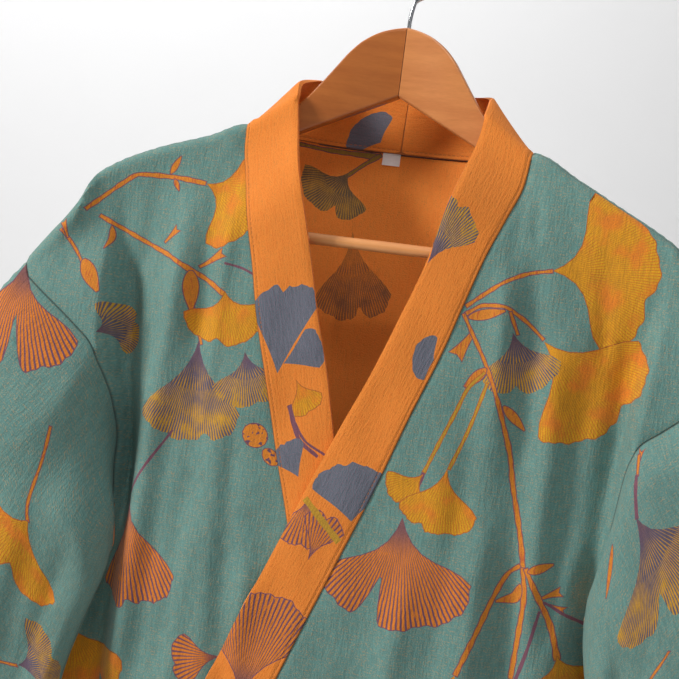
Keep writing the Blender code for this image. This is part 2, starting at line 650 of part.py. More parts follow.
def rounded_section(top, bottom, mid, half):
    """Points round a wooden section in depth and height, with rounded corners."""
    points = []
    r = wood_corner
    for cy, cz, start in ((mid + half - r, top - r, 0), (mid - half + r, top - r, 1),
                          (mid - half + r, bottom + r, 2), (mid + half - r, bottom + r, 3)):
        for i in range(3):
            a = (start + i / 2) * math.pi / 2
            points.append((cy + r * math.cos(a), cz + r * math.sin(a)))
    return points


def build_arm(name, side, material):
    points = []
    rows = wood_rows
    for x, top, bottom, mid, half in rows:
        for y, z in rounded_section(top, bottom, mid, half):
            points.append((side * x, y, z + apex_z))
    size = 12
    faces = []
    for i in range(len(rows) - 1):
        for j in range(size):
            k = (j + 1) % size
            quad = (i * size + j, i * size + k, (i + 1) * size + k, (i + 1) * size + j)
            faces.append(quad if side > 0 else quad[::-1])
    start = tuple(range(size))
    end = tuple((len(rows) - 1) * size + j for j in range(size))
    faces.append(start[::-1] if side > 0 else start)
    faces.append(end if side > 0 else end[::-1])
    return add_object(name, points, faces, material)


def tube(name, path, radius, sides, material):
    """A round bar along a path of points, with flat ends."""
    path = np.asarray(path, float)
    along_it = np.gradient(path, axis=0)
    along_it = along_it / np.linalg.norm(along_it, axis=1, keepdims=True)
    square = np.array([0.0, 1.0, 0.0])
    points = []
    for p, d in zip(path, along_it):
        b = np.cross(square, d)
        b = b / np.linalg.norm(b)
        c = np.cross(b, d)
        for j in range(sides):
            a = 2 * math.pi * j / sides
            points.append(p + radius * (b * math.cos(a) + c * math.sin(a)))
    faces = []
    for i in range(len(path) - 1):
        for j in range(sides):
            k = (j + 1) % sides
            faces.append((i * sides + k, i * sides + j, (i + 1) * sides + j, (i + 1) * sides + k))
    faces.append(tuple(range(sides)))
    faces.append(tuple((len(path) - 1) * sides + j for j in reversed(range(sides))))
    return add_object(name, points, faces, material)


def hook_line():
    centre_z = -hook_radius
    r = hook_radius + wire_radius
    stem = resample([(x, z) for x, z in hook_path], 0.004)
    bend = []
    for a in np.radians(np.arange(-62, 200, 10)):
        bend.append((r * math.cos(a), centre_z + r * math.sin(a)))
    line = np.concatenate([stem, bend])
    return np.stack([line[:, 0], np.zeros(len(line)), line[:, 1]], axis=1)


def build_label(name, material):
    """The blank size tag, which hangs inside the back from the neck seam."""
    wide, tall, thick = label_size
    xs = np.linspace(-0.0150, -0.0150 + wide, 4)
    zs = np.linspace(-0.0415, -0.0415 - tall, 3)
    u, v = np.meshgrid(xs, zs, indexing="ij")

    def face(a, b):
        return cloth_point("back", a, b)

    back = face(u, v)
    out = normals(face, u, v, -1.0)
    near = (back - out * (cloth_wall + label_gap)).reshape(-1, 3)
    far = (back - out * (cloth_wall + label_gap + thick)).reshape(-1, 3)
    faces = []
    for i in range(3):
        for j in range(2):
            a = i * 3 + j
            faces.append((a, a + 1, a + 4))
            faces.append((a, a + 4, a + 3))
    points, body = shell(far, near, faces)
    return add_object(name, points, body, material)


def make_material(name, colour, roughness, metallic=0.0):
    material = bpy.data.materials.new(name)
    material.use_nodes = True
    shader = material.node_tree.nodes["Principled BSDF"]
    shader.inputs["Base Color"].default_value = (*colour, 1.0)
    shader.inputs["Roughness"].default_value = roughness
    shader.inputs["Metallic"].default_value = metallic
    return material


def build_robe():
    teal = (0.085, 0.215, 0.215)
    orange = (0.68, 0.20, 0.025)
    build_panel("front_left", "over", front_outline(1), make_material("front_left_cloth", teal, 0.85))
    build_panel("front_right", "under", front_outline(-1),
                make_material("front_right_cloth", teal, 0.85))
    build_panel("back", "back", back_outline(), make_material("back_cloth", teal, 0.85))
    build_band("band_left", 1, make_material("band_left_cloth", orange, 0.85))
    build_band("band_right", -1, make_material("band_right_cloth", orange, 0.85))
    build_sleeve("sleeve_left", 1, make_material("sleeve_left_cloth", teal, 0.85))
    build_sleeve("sleeve_right", -1, make_material("sleeve_right_cloth", teal, 0.85))
    build_label("size_label", make_material("label_cloth", (0.85, 0.85, 0.83), 0.7))


def build_hanger():
    wood = (0.42, 0.17, 0.06)
    build_arm("hanger_left", 1, make_material("arm_left_wood", wood, 0.35))
    build_arm("hanger_right", -1, make_material("arm_right_wood", wood, 0.35))
    reach = 0.2056
    bar = [(x, bar_y, bar_z + apex_z) for x in np.linspace(-reach, reach, 9)]
    tube("hanger_bar", bar, bar_radius, 14, make_material("bar_wood", (0.55, 0.25, 0.09), 0.45))
    tube("hanger_hook", hook_line(), wire_radius, 8,
         make_material("hook_chrome", (0.8, 0.8, 0.8), 0.15, 1.0))


for item in list(bpy.data.objects):
    bpy.data.objects.remove(item, do_unlink=True)
build_robe()
build_hanger()
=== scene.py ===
# Kimono robe on a contoured wooden hanger: cloth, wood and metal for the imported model.
# Metres, +Z up. The hook's seat is the origin and the robe's front faces -Y.
# Side 1 is the wearer's left, -1 the right. Tables of cloth and wood count heights from the apex, which
# is the lower point of the hanger's centre.
import math
import bmesh
import bpy
import numpy as np
from mathutils import Matrix, Vector
from mathutils.geometry import delaunay_2d_cdt
from mathutils.kdtree import KDTree


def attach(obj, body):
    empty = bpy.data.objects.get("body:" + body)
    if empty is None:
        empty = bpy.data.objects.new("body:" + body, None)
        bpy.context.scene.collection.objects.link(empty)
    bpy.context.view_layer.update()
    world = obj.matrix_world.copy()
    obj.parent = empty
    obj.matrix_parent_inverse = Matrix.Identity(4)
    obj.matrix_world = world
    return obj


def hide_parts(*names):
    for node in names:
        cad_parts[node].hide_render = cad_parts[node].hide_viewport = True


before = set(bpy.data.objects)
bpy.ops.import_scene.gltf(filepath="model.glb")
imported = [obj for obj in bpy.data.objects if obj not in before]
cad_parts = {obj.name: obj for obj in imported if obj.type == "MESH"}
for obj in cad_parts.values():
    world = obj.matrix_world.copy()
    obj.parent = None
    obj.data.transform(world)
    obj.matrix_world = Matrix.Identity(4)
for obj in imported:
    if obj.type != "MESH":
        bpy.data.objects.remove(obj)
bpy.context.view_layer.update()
print("frame loaded")


def step(value):
    t = np.clip(value, 0.0, 1.0)
    return t * t * (3.0 - 2.0 * t)


def ease(value, change):
    # change says where it starts and over how much it is complete
    return step((value - change[0]) / change[1])


def bell(value, middle, half):
    return np.exp(-((value - middle) / half) ** 2)


def curve(xs, ys, x):
    xs = np.asarray(xs, float)
    ys = np.asarray(ys, float)
    width = np.diff(xs)
    slope = np.diff(ys) / width
    bend = np.zeros(len(xs))
    for i in range(1, len(xs) - 1):
        if slope[i - 1] * slope[i] > 0:
            a = 2.0 * width[i] + width[i - 1]
            b = width[i] + 2.0 * width[i - 1]
            bend[i] = (a + b) / (a / slope[i - 1] + b / slope[i])
    bend[0] = slope[0]
    bend[-1] = slope[-1]
    x = np.clip(x, xs[0], xs[-1])
    k = np.clip(np.searchsorted(xs, x, side="right") - 1, 0, len(width) - 1)
    t = (x - xs[k]) / width[k]
    start = (1 + 2 * t) * (1 - t) ** 2 * ys[k] + t * t * (3 - 2 * t) * ys[k + 1]
    return start + width[k] * (t * (1 - t) ** 2 * bend[k] - t * t * (1 - t) * bend[k + 1])


def along(points, part):
    points = np.asarray(points, float)
    run = np.concatenate([[0.0], np.cumsum(np.linalg.norm(np.diff(points, axis=0), axis=1))])
    columns = [curve(run / run[-1], points[:, i], part) for i in range(points.shape[1])]
    return np.stack(columns, axis=-1)


def resample(points, spacing):
    run = np.linalg.norm(np.diff(np.asarray(points, float), axis=0), axis=1).sum()
    return along(points, np.linspace(0.0, 1.0, max(2, int(round(run / spacing)) + 1)))


def straight(a, b, spacing):
    return np.linspace(a, b, max(1, int(round(np.linalg.norm(np.subtract(b, a)) / spacing))) + 1)


def foldDepth(folds, x, z):
    total = np.zeros(np.shape(x))
    # each fades in over its first quarter and out over its last fifth
    for x0, z0, x1, z1, half, depth in folds:
        t = (z0 - z) / (z0 - z1)
        across = (x - (x0 + (x1 - x0) * t)) / half
        total = total + depth * np.exp(-across ** 2) * step(t / 0.25) * step((1 - t) / 0.2)
    return total


def squareTo(pointAt, u, v, outward=1.0):
    e = 0.0008
    n = np.cross(pointAt(u + e, v) - pointAt(u - e, v), pointAt(u, v + e) - pointAt(u, v - e)) * outward
    return n / np.maximum(np.linalg.norm(n, axis=-1, keepdims=True), 1e-12)


# The body of the robe
robe = {
    "apexZ": -0.121,
    "wall": 0.0016,
    "length": 1.18,         # hem under the apex
    "sideRound": 0.024,     # rounding where front and back meet at the side
    "overLift": 0.0056,     # the upper front lies this far in front of the lower one
    "stepWidth": 0.014,     # how sharply the cloth steps forward beside the armhole
    "neckOut": 0.1155,      # where the shoulder seam meets the band
    "grid": 0.0036,         # between points on the upper cloth of the fronts
    "backGrid": 0.0048,     # on the back
    "lowGrid": 0.0085,      # and low down on all three
    "lowFrom": -0.56,
    "armholeSteps": 64,
    "tuck": 0.0011,         # how far the cloth dips at a seam
    "tuckWide": 0.0040,
    "drift": 0.0015,        # small unevenness all over
    "hemStitch": 0.022, "hemWide": 0.01,
    "sideTop": -0.38, "sideMid": -0.62,         # where the side seam starts, and where its grid gets wider
    "shoulderSteps": 36, "neckSteps": 25,
    "stitchColour": (92, 138, 136),
    # How the panels hang. Y is a depth. A pair says where a change starts, out from the middle or down
    # from the apex, and over how much it is complete.
    # the fronts between the shoulder and the neck
    "neckEdge": 0.117, "neckZ": -0.0345, "neckSlope": 1.05, "neckY": -0.022,
    "neckRound": 0.0105, "neckMore": 0.0020, "neckWide": 0.03,
    "frontY": -0.059, "frontIn": 0.0140, "frontOut": (0.13, 0.065), "frontDrop": 0.12,
    "armpitIn": 0.016, "armpitOut": (0.176, 0.038), "armpitDown": (0.36, 0.072),
    "backY": 0.020, "backIn": 0.018, "backOut": 0.20, "backMost": 0.21, "backDrop": 0.24,
    "lowIn": 0.004, "lowDown": (0.5, 0.5),
    # the step beside the armhole
    "wingDown": (0.095, 0.075), "wingEnd": (0.33, 0.07), "wingDrop": (0.004, 0.030),
    "frontWing": 0.017, "frontWingDown": (0.12, 0.10),
    "backWingY": -0.028, "backWing": 0.010, "backWingDown": (0.15, 0.10), "backWingShare": 0.6,
    "sideY": -0.034, "sideIn": 0.018, "sideDown": (0.38, 0.080),
    "lapOut": 0.10, "lapMore": 0.06, "lapDown": ((0.20, 0.26), (0.46, 0.16)), "lapWide": 0.05,
    "lapDrop": (0.02, 0.10), "driftDrop": 0.05,
    # the shoulder seam
    "seamShift": 0.35, "seamOut": (0.106, 0.009), "seamEnd": 0.262, "seamWide": 0.03,
}
# The top of a shoulder from the middle outwards: distance, height, depth, rounding in height and depth.
neckTop = (
    (0.000, -0.0405, 0.037, 0.0010, 0.0010), (0.030, -0.0403, 0.035, 0.0010, 0.0010),
    (0.060, -0.0398, 0.028, 0.0012, 0.0012), (0.090, -0.0385, 0.013, 0.0025, 0.0025),
)
topLine = {
    -1: neckTop + (
        (0.108, -0.0365, -0.008, 0.0070, 0.0070), (0.117, -0.0350, -0.022, 0.0105, 0.0105),
        (0.148, -0.0485, -0.029, 0.0105, 0.0105), (0.189, -0.0640, -0.0365, 0.0105, 0.0105),
        (0.226, -0.0840, -0.043, 0.0110, 0.0112), (0.235, -0.0930, -0.047, 0.0150, 0.0130),
        (0.241, -0.1080, -0.047, 0.0230, 0.0180), (0.252, -0.1260, -0.047, 0.0290, 0.0220),
        (0.266, -0.1440, -0.047, 0.0330, 0.0240), (0.286, -0.1730, -0.047, 0.0350, 0.0260),
        (0.304, -0.2110, -0.047, 0.0380, 0.0260)),
    1: neckTop + (
        (0.108, -0.0362, -0.008, 0.0070, 0.0070), (0.117, -0.0335, -0.022, 0.0105, 0.0105),
        (0.158, -0.0525, -0.031, 0.0105, 0.0105), (0.193, -0.0705, -0.037, 0.0105, 0.0105),
        (0.228, -0.0890, -0.043, 0.0110, 0.0112), (0.240, -0.0970, -0.047, 0.0140, 0.0130),
        (0.251, -0.1120, -0.047, 0.0220, 0.0180), (0.262, -0.1300, -0.047, 0.0280, 0.0220),
        (0.277, -0.1560, -0.047, 0.0330, 0.0240), (0.294, -0.1890, -0.047, 0.0350, 0.0260),
        (0.306, -0.2150, -0.047, 0.0380, 0.0260)),
}
# Height, and how far out the cloth begins to step forward beside the armhole.
foldFoot = {
    -1: ((-1.20, 0.186), (-0.42, 0.180), (-0.36, 0.185), (-0.27, 0.190), (-0.22, 0.194),
         (-0.18, 0.198), (-0.12, 0.204), (0.0, 0.207)),
    1: ((-1.20, 0.208), (-0.42, 0.203), (-0.35, 0.208), (-0.27, 0.212), (-0.24, 0.214),
        (-0.17, 0.221), (-0.12, 0.228), (0.0, 0.231)),
}
# Height, and how far out the side of the body lies.
sideEdge = {
    -1: ((-1.20, 0.300), (-0.90, 0.288), (-0.62, 0.264), (-0.56, 0.257), (-0.48, 0.246),
         (-0.45, 0.238), (-0.41, 0.216), (-0.38, 0.190), (-0.34, 0.198), (-0.28, 0.232),
         (-0.22, 0.300), (0.0, 0.400)),
    1: ((-1.20, 0.305), (-0.90, 0.294), (-0.62, 0.272), (-0.56, 0.266), (-0.48, 0.256),
        (-0.45, 0.249), (-0.41, 0.231), (-0.38, 0.213), (-0.34, 0.221), (-0.28, 0.252),
        (-0.22, 0.320), (0.0, 0.420)),
}
# The armholes from shoulder to underarm: distance out, height.
frontArmhole = {
    -1: ((0.2860, -0.1730), (0.2660, -0.1870), (0.2431, -0.2030), (0.2260, -0.2160),
         (0.2110, -0.2290), (0.2015, -0.2480), (0.1955, -0.2750), (0.1925, -0.3100),
         (0.1935, -0.3480), (0.2037, -0.3800)),
    1: ((0.2940, -0.1890), (0.2760, -0.2085), (0.2564, -0.2260), (0.2430, -0.2375),
        (0.2310, -0.2475), (0.2225, -0.2650), (0.2185, -0.2920), (0.2160, -0.3230),
        (0.2165, -0.3540), (0.2267, -0.3800)),
}
backArmhole = {
    -1: ((0.2860, -0.1730), (0.2660, -0.1960), (0.2460, -0.2200), (0.2300, -0.2450),
         (0.2180, -0.2750), (0.2090, -0.3100), (0.2045, -0.3480), (0.2037, -0.3800)),
    1: ((0.2940, -0.1890), (0.2770, -0.2130), (0.2620, -0.2360), (0.2480, -0.2600),
        (0.2370, -0.2880), (0.2300, -0.3200), (0.2270, -0.3520), (0.2267, -0.3800)),
}
# Broad folds, each along a line: start across and height, end across and height, half width,
# depth. Both fronts share one list, so that they keep their distance.
frontFolds = (
    (-0.15, -0.08, -0.156, -0.52, 0.016, -0.005), (-0.118, -0.1, -0.128, -0.56, 0.015, 0.004),
    (-0.088, -0.2, -0.092, -0.56, 0.018, -0.0035), (0.142, -0.08, 0.146, -0.56, 0.015, 0.0045),
    (0.172, -0.11, 0.17, -0.56, 0.014, -0.005), (0.11, -0.16, 0.098, -0.6, 0.018, -0.0035),
    (-0.19, -0.6, -0.204, -1.3, 0.024, -0.012), (-0.14, -0.56, -0.15, -1.3, 0.022, 0.007),
    (-0.06, -0.64, -0.05, -1.3, 0.026, -0.007), (0.02, -0.6, 0.034, -1.3, 0.026, 0.006),
    (0.1, -0.6, 0.104, -1.3, 0.026, -0.007), (0.214, -0.58, 0.236, -1.3, 0.024, 0.01),
)
backFolds = (
    (-0.15, -0.12, -0.16, -1.3, 0.024, 0.009), (-0.095, -0.15, -0.105, -1.3, 0.024, -0.007),
    (-0.03, -0.1, -0.036, -1.3, 0.026, 0.006), (0.035, -0.16, 0.04, -1.3, 0.024, -0.006),
    (0.095, -0.12, 0.105, -1.3, 0.026, 0.008), (0.165, -0.14, 0.178, -1.3, 0.024, -0.008),
)
# Creases of the cloth itself, in the same order.
frontCreases = (
    (-0.196, -0.13, -0.182, -0.4, 0.01, 0.0098), (-0.184, -0.24, -0.195, -0.56, 0.0155, 0.0235),
    (-0.16, -0.2, -0.17, -0.54, 0.011, -0.0061), (0.214, -0.14, 0.203, -0.4, 0.009, 0.0054),
    (0.208, -0.33, 0.216, -0.56, 0.012, 0.0108), (0.124, -0.04, 0.131, -0.108, 0.0042, 0.0054),
    (0.133, -0.096, 0.138, -0.3, 0.01, 0.0049), (0.112, -0.11, 0.118, -0.26, 0.008, -0.0035),
    (0.158, -0.15, 0.16, -0.42, 0.01, -0.0046), (0.18, -0.19, 0.178, -0.44, 0.009, 0.0046),
    (0.104, -0.23, 0.09, -0.52, 0.011, 0.0046), (0.124, -0.3, 0.116, -0.56, 0.009, -0.0041),
    (0.072, -0.33, 0.048, -0.62, 0.011, -0.0049), (0.03, -0.44, 0.014, -0.64, 0.011, 0.0046),
    (0.146, -0.34, 0.148, -0.6, 0.01, 0.0046), (0.19, -0.32, 0.18, -0.54, 0.009, -0.0041),
    (0.184, -0.075, 0.194, -0.2, 0.007, 0.0032), (-0.128, -0.045, -0.134, -0.24, 0.008, 0.0049),
    (-0.112, -0.07, -0.116, -0.3, 0.007, -0.0035), (-0.15, -0.08, -0.156, -0.26, 0.008, -0.0041),
    (-0.14, -0.23, -0.15, -0.52, 0.01, 0.0049), (-0.09, -0.25, -0.08, -0.48, 0.009, 0.0043),
    (-0.112, -0.32, -0.122, -0.57, 0.01, -0.0049), (-0.066, -0.35, -0.058, -0.56, 0.008, -0.0035),
    (-0.18, -0.08, -0.184, -0.17, 0.007, 0.003), (-0.226, -0.15, -0.236, -0.2, 0.006, 0.0024),
    (-0.2, -0.62, -0.19, -1.18, 0.013, 0.0049), (-0.11, -0.7, -0.1, -1.18, 0.013, -0.0049),
    (0.06, -0.66, 0.07, -1.18, 0.013, 0.0046), (0.15, -0.64, 0.16, -1.18, 0.013, -0.0049),
)
backCreases = (
    (-0.034, -0.06, -0.04, -0.23, 0.006, 0.0048), (0.018, -0.08, 0.02, -0.3, 0.01, -0.0034),
    (-0.07, -0.06, -0.074, -0.33, 0.01, -0.0031), (0.062, -0.08, 0.07, -0.42, 0.012, 0.0041),
    (-0.19, -0.2, -0.196, -0.62, 0.011, 0.0044), (-0.124, -0.26, -0.128, -0.76, 0.012, -0.0051),
    (0.128, -0.22, 0.136, -0.7, 0.011, -0.0048), (0.2, -0.26, 0.205, -0.64, 0.011, 0.0044),
    (-0.06, -0.56, -0.066, -1.18, 0.014, -0.0058), (0.0, -0.5, 0.004, -1.18, 0.013, 0.0058),
    (0.07, -0.64, 0.074, -1.18, 0.013, -0.0051), (-0.22, -0.7, -0.236, -1.18, 0.013, 0.0051),
    (0.22, -0.72, 0.238, -1.18, 0.013, -0.0051),
)


def bySide(table, column, x, at):
    # a column of a table that has one set of rows for each side, with the first column as its place
    left = np.array(table[-1])
    right = np.array(table[1])
    onLeft = curve(left[:, 0], left[:, column], at)
    onRight = curve(right[:, 0], right[:, column], at)
    return np.where(x < 0, onLeft, onRight)


def drift(x, z):
    # small unevenness from crossing waves
    wave = np.sin(x * 61 + z * 17 + 1.3) * np.sin(z * 23 - x * 9)
    wave = wave + 0.55 * np.sin(x * 131 - z * 29 + 0.4) * np.cos(z * 41 + x * 37)
    return robe["drift"] * wave


def clothPoint(layer, x, z):
    # a point on the outer face of a body panel, from its flat place seen from the front
    x = np.asarray(x, float)
    z = np.asarray(z, float)
    out = np.abs(x)
    roundZ, roundY = bySide(topLine, 3, x, out), bySide(topLine, 4, x, out)
    top, mid = bySide(topLine, 1, x, out), bySide(topLine, 2, x, out)
    if layer != "back":
        inside, rest = out < robe["neckEdge"], robe["neckEdge"] - out
        top = np.where(inside, np.maximum(top, robe["neckZ"] + rest * robe["neckSlope"]), top)
        mid = np.where(inside, robe["neckY"] * out / robe["neckEdge"], mid)
        roundZ = np.where(inside, robe["neckRound"], roundZ)
        more = robe["neckMore"] * step(rest / robe["neckWide"])
        roundY = np.where(inside, robe["neckRound"] + more, roundY)
    # over the shoulder
    over = z > top - roundZ
    turn = np.where(over, math.pi / 2 - (z - top + roundZ) / roundZ, math.pi / 2)
    height = np.where(over, top - roundZ + roundZ * np.cos(turn), z)
    down, drop = -height, np.maximum(top - height, 0.0)
    # round the side
    edge = bySide(sideEdge, 1, x, height)
    start = edge - robe["sideRound"]
    close = np.where(out > start, math.pi / 2 - (out - start) / robe["sideRound"], math.pi / 2)
    reach = np.where(out > start, edge - robe["sideRound"] * (1 - np.cos(close)), out)
    # the depth at which it hangs, and where it steps forward beside the armhole
    foot = bySide(foldFoot, 1, x, height)
    wing = step((reach - foot) / robe["stepWidth"]) * ease(down, robe["wingDown"])
    wing = wing * (1 - ease(down, robe["wingEnd"]))
    if layer == "back":
        bowed = (np.minimum(reach, robe["backMost"]) / robe["backOut"]) ** 2
        chest = robe["backY"] - robe["backIn"] * bowed
        chest = chest - robe["lowIn"] * ease(down, robe["lowDown"])
        chest = chest + foldDepth(backFolds, x, height) + foldDepth(backCreases, x, height)
        wingY = robe["backWingY"] + robe["backWing"] * ease(down, robe["backWingDown"])
        wing = wing * robe["backWingShare"]
        hang = mid + roundY * np.sin(turn)
        hung = step(drop / robe["backDrop"])
    else:
        chest = robe["frontY"] + robe["frontIn"] * ease(reach, robe["frontOut"])
        chest = chest + foldDepth(frontFolds, x, height) + foldDepth(frontCreases, x, height)
        chest = chest + robe["armpitIn"] * ease(reach, robe["armpitOut"]) * ease(down, robe["armpitDown"])
        wingY = robe["frontY"] - robe["frontWing"] * ease(down, robe["frontWingDown"])
        hang = mid - roundY * np.sin(turn)
        hung = step(drop / robe["frontDrop"])
    y = hang + (chest - hang) * hung
    y = y + (wingY - y) * wing * ease(drop, robe["wingDrop"])
    y = y + drift(x, height) * step(drop / robe["driftDrop"])
    middle = robe["sideY"] + robe["sideIn"] * ease(down, robe["sideDown"])
    y = middle + (y - middle) * np.sin(close)
    if layer == "over":
        limit = robe["lapOut"]
        for change in robe["lapDown"]:
            limit = limit + robe["lapMore"] * ease(down, change)
        y = y - robe["overLift"] * step((limit - x) / robe["lapWide"]) * ease(drop, robe["lapDrop"])
    side = np.where(x < 0, -1.0, 1.0)
    return np.stack([side * reach, y, height + robe["apexZ"]], axis=-1)


def crest(side, out):
    x = side * np.asarray(out, float)
    rounding = bySide(topLine, 3, x, np.abs(x))
    return bySide(topLine, 1, x, np.abs(x)) + rounding * (math.pi / 2 - 1)


def laidTop(side, layer, out):
    # the shoulder seam on a panel that is laid out flat
    x = side * np.asarray(out, float)
    rounding = bySide(topLine, 3, x, np.abs(x))
    seam = robe["seamShift"] * rounding * ease(np.abs(x), robe["seamOut"])
    seam = seam * step((robe["seamEnd"] - np.abs(x)) / robe["seamWide"])
    return crest(side, out) + (seam if layer == "back" else -seam)


def shoulderLine(side, layer):
    out = np.linspace(robe["neckOut"], frontArmhole[side][0][0], robe["shoulderSteps"])
    return np.stack([side * out, laidTop(side, layer, out)], axis=1)


def armholePlace(side, table, part):
    # a place on the armhole seam, from the shoulder at 0 to the underarm at 1
    line = along(table[side], part)
    # its first sixteenth climbs to the top of the shoulder
    rise = float(crest(side, table[side][0][0])) - table[side][0][1]
    line[..., 1] = line[..., 1] + rise * np.clip(1 - np.asarray(part) * 16, 0, 1)
    return line * np.array([side, 1.0])


def sideLine(side):
    upper = np.linspace(robe["sideTop"], robe["sideMid"], 41)
    heights = np.concatenate([upper, np.linspace(robe["sideMid"], -robe["length"], 62)[1:]])
    out = bySide(sideEdge, 1, np.array([side]), heights) + robe["sideRound"] * (math.pi / 2 - 1)
    return np.stack([side * out, heights], axis=1)


# The neck band, in two halves that meet at the centre back
band = {
    "wall": 0.0034,
    "proud": 0.0012,        # how far it stands on the cloth
    "width": 0.047,
    "backRun": 0.16,        # its length round the back of the neck
    "grid": 0.0048,
    "under": 0.0020,        # how far it reaches under its seam
    "stitch": 0.0012,
    "dip": 0.0008, "dipWide": 0.0026,
    "roll": 0.0009, "rollWide": 0.0022,
    "pucker": 0.00025, "puckerWide": 0.003,
    "stitchColour": (186, 104, 36),
}
# The band from hem to shoulder: across and height on its seam, then on its free edge.
bandFront = {
    1: ((-0.1200, -1.180, -0.1670, -1.180), (-0.1200, -0.950, -0.1670, -0.950),
        (-0.1150, -0.800, -0.1620, -0.800), (-0.0950, -0.670, -0.1420, -0.664),
        (-0.0610, -0.560, -0.1080, -0.550), (-0.0280, -0.4704, -0.0755, -0.4600),
        (-0.0090, -0.4180, -0.0560, -0.4080), (0.0150, -0.3540, -0.0300, -0.3400),
        (0.0360, -0.2950, -0.0040, -0.2740), (0.0530, -0.2450, 0.0180, -0.2220),
        (0.0695, -0.1980, 0.0365, -0.1700), (0.0822, -0.1559, 0.0500, -0.1290),
        (0.0939, -0.1174, 0.0600, -0.0850), (0.1040, -0.0880, 0.0685, -0.0500),
        (0.1130, -0.0590, 0.0738, -0.0260), (0.1168, -0.0430, 0.0755, -0.0080)),
    -1: ((0.1200, -1.172, 0.1670, -1.172), (0.1200, -0.950, 0.1670, -0.950),
         (0.1150, -0.800, 0.1620, -0.800), (0.0930, -0.690, 0.1390, -0.685),
         (0.0500, -0.570, 0.0960, -0.560), (0.0080, -0.475, 0.0530, -0.460),
         (-0.0150, -0.410, 0.0290, -0.395), (-0.0353, -0.343, 0.0080, -0.328),
         (-0.0501, -0.293, -0.0066, -0.277), (-0.0658, -0.236, -0.0200, -0.224),
         (-0.0780, -0.195, -0.0335, -0.178), (-0.0890, -0.148, -0.0450, -0.132),
         (-0.0990, -0.1102, -0.0575, -0.089), (-0.1075, -0.0790, -0.0690, -0.051),
         (-0.1135, -0.0560, -0.0750, -0.026), (-0.1160, -0.0430, -0.0785, -0.009)),
}
# Round the back of the neck: distance out on the seam, then the free edge's place.
bandBack = {
    1: ((0.1135, 0.0765, -0.0110, 0.0060), (0.1060, 0.0745, 0.0050, 0.0090),
        (0.0900, 0.0660, 0.0200, 0.0105), (0.0600, 0.0480, 0.0340, 0.0105),
        (0.0300, 0.0250, 0.0415, 0.0080), (0.0000, 0.0000, 0.0435, 0.0062)),
    -1: ((0.1135, -0.0820, -0.0110, 0.0045), (0.1060, -0.0790, 0.0050, 0.0085),
         (0.0900, -0.0680, 0.0200, 0.0105), (0.0600, -0.0480, 0.0340, 0.0105),
         (0.0300, -0.0250, 0.0415, 0.0080), (0.0000, 0.0000, 0.0435, 0.0062)),
}


def bandEdge(side, inner):
    rows = np.array(bandFront[side])
    picked = rows[:, 2:4] if inner else rows[:, 0:2]
    if not inner:
        layer = "over" if side > 0 else "under"
        neck = (side * robe["neckOut"], float(laidTop(side, layer, robe["neckOut"])))
        picked = np.concatenate([picked[:-1], [neck]])
    return picked


def bandRun(side):
    return float(np.linalg.norm(np.diff(resample(bandEdge(side, False), 0.002), axis=0), axis=1).sum())


def bandPoint(side, s, t):
    # s runs in metres from the hem to the shoulder and on to the centre back,
    # t from the seam to the free edge
    layer = "over" if side > 0 else "under"
    run = bandRun(side)
    u = np.where(s < run, s / run, 1 + (s - run) / band["backRun"])
    v = np.asarray(t, float) / band["width"]
    low = np.clip(u, 0.0, 1.0)
    outer, inner = along(bandEdge(side, False), low), along(bandEdge(side, True), low)
    flat = outer + (inner - outer) * v[..., None]
    front = clothPoint(layer, flat[..., 0], flat[..., 1])
    a = clothPoint(layer, outer[..., 0], outer[..., 1])
    b = clothPoint(layer, inner[..., 0], inner[..., 1])
    last = clothPoint(layer, *bandEdge(side, True)[-1])
    rows = np.array(bandBack[side])
    free = np.concatenate([[last], rows[:, 1:4] + np.array([0, 0, robe["apexZ"]])])
    high = np.clip(u - 1.0, 0.0, 1.0)
    count = np.linspace(0.0, 1.0, len(free))
    out = curve(count, np.concatenate([[robe["neckOut"]], rows[:, 0]]), high)
    seam = clothPoint("back", side * out, laidTop(side, "back", out))
    edge = np.stack([curve(count, free[:, i], high) for i in range(3)], axis=-1)
    ruled = seam + (edge - seam) * v[..., None]
    front = front + (a + (b - a) * v[..., None] - front) * ease(u, (0.86, 0.08))[..., None]
    return np.where((u > 1.0)[..., None], ruled, front)


def frontOutline(side):
    layer = "over" if side > 0 else "under"
    seam = resample(bandEdge(side, False), robe["grid"])
    top = shoulderLine(side, layer)
    arm = armholePlace(side, frontArmhole, np.linspace(0, 1, robe["armholeSteps"] + 1))
    edge = sideLine(side)
    hem = straight(edge[-1], seam[0], robe["lowGrid"])
    loop = np.concatenate([seam, top[1:], arm[1:], edge[1:], hem[1:-1]])
    return loop[::-1] if side > 0 else loop


def backOutline():
    parts = []
    for side in (1, -1):
        out = np.linspace(0.0, robe["neckOut"], robe["neckSteps"])[:-1]
        neck = np.stack([side * out, laidTop(side, "back", out)], axis=1)
        arm = armholePlace(side, backArmhole, np.linspace(0, 1, robe["armholeSteps"] + 1))
        parts.append(np.concatenate([neck, shoulderLine(side, "back"), arm[1:], sideLine(side)[1:]]))
    hem = straight(parts[1][-1], parts[0][-1], robe["lowGrid"])
    return np.concatenate([parts[0][::-1], parts[1][1:], hem[1:-1]])


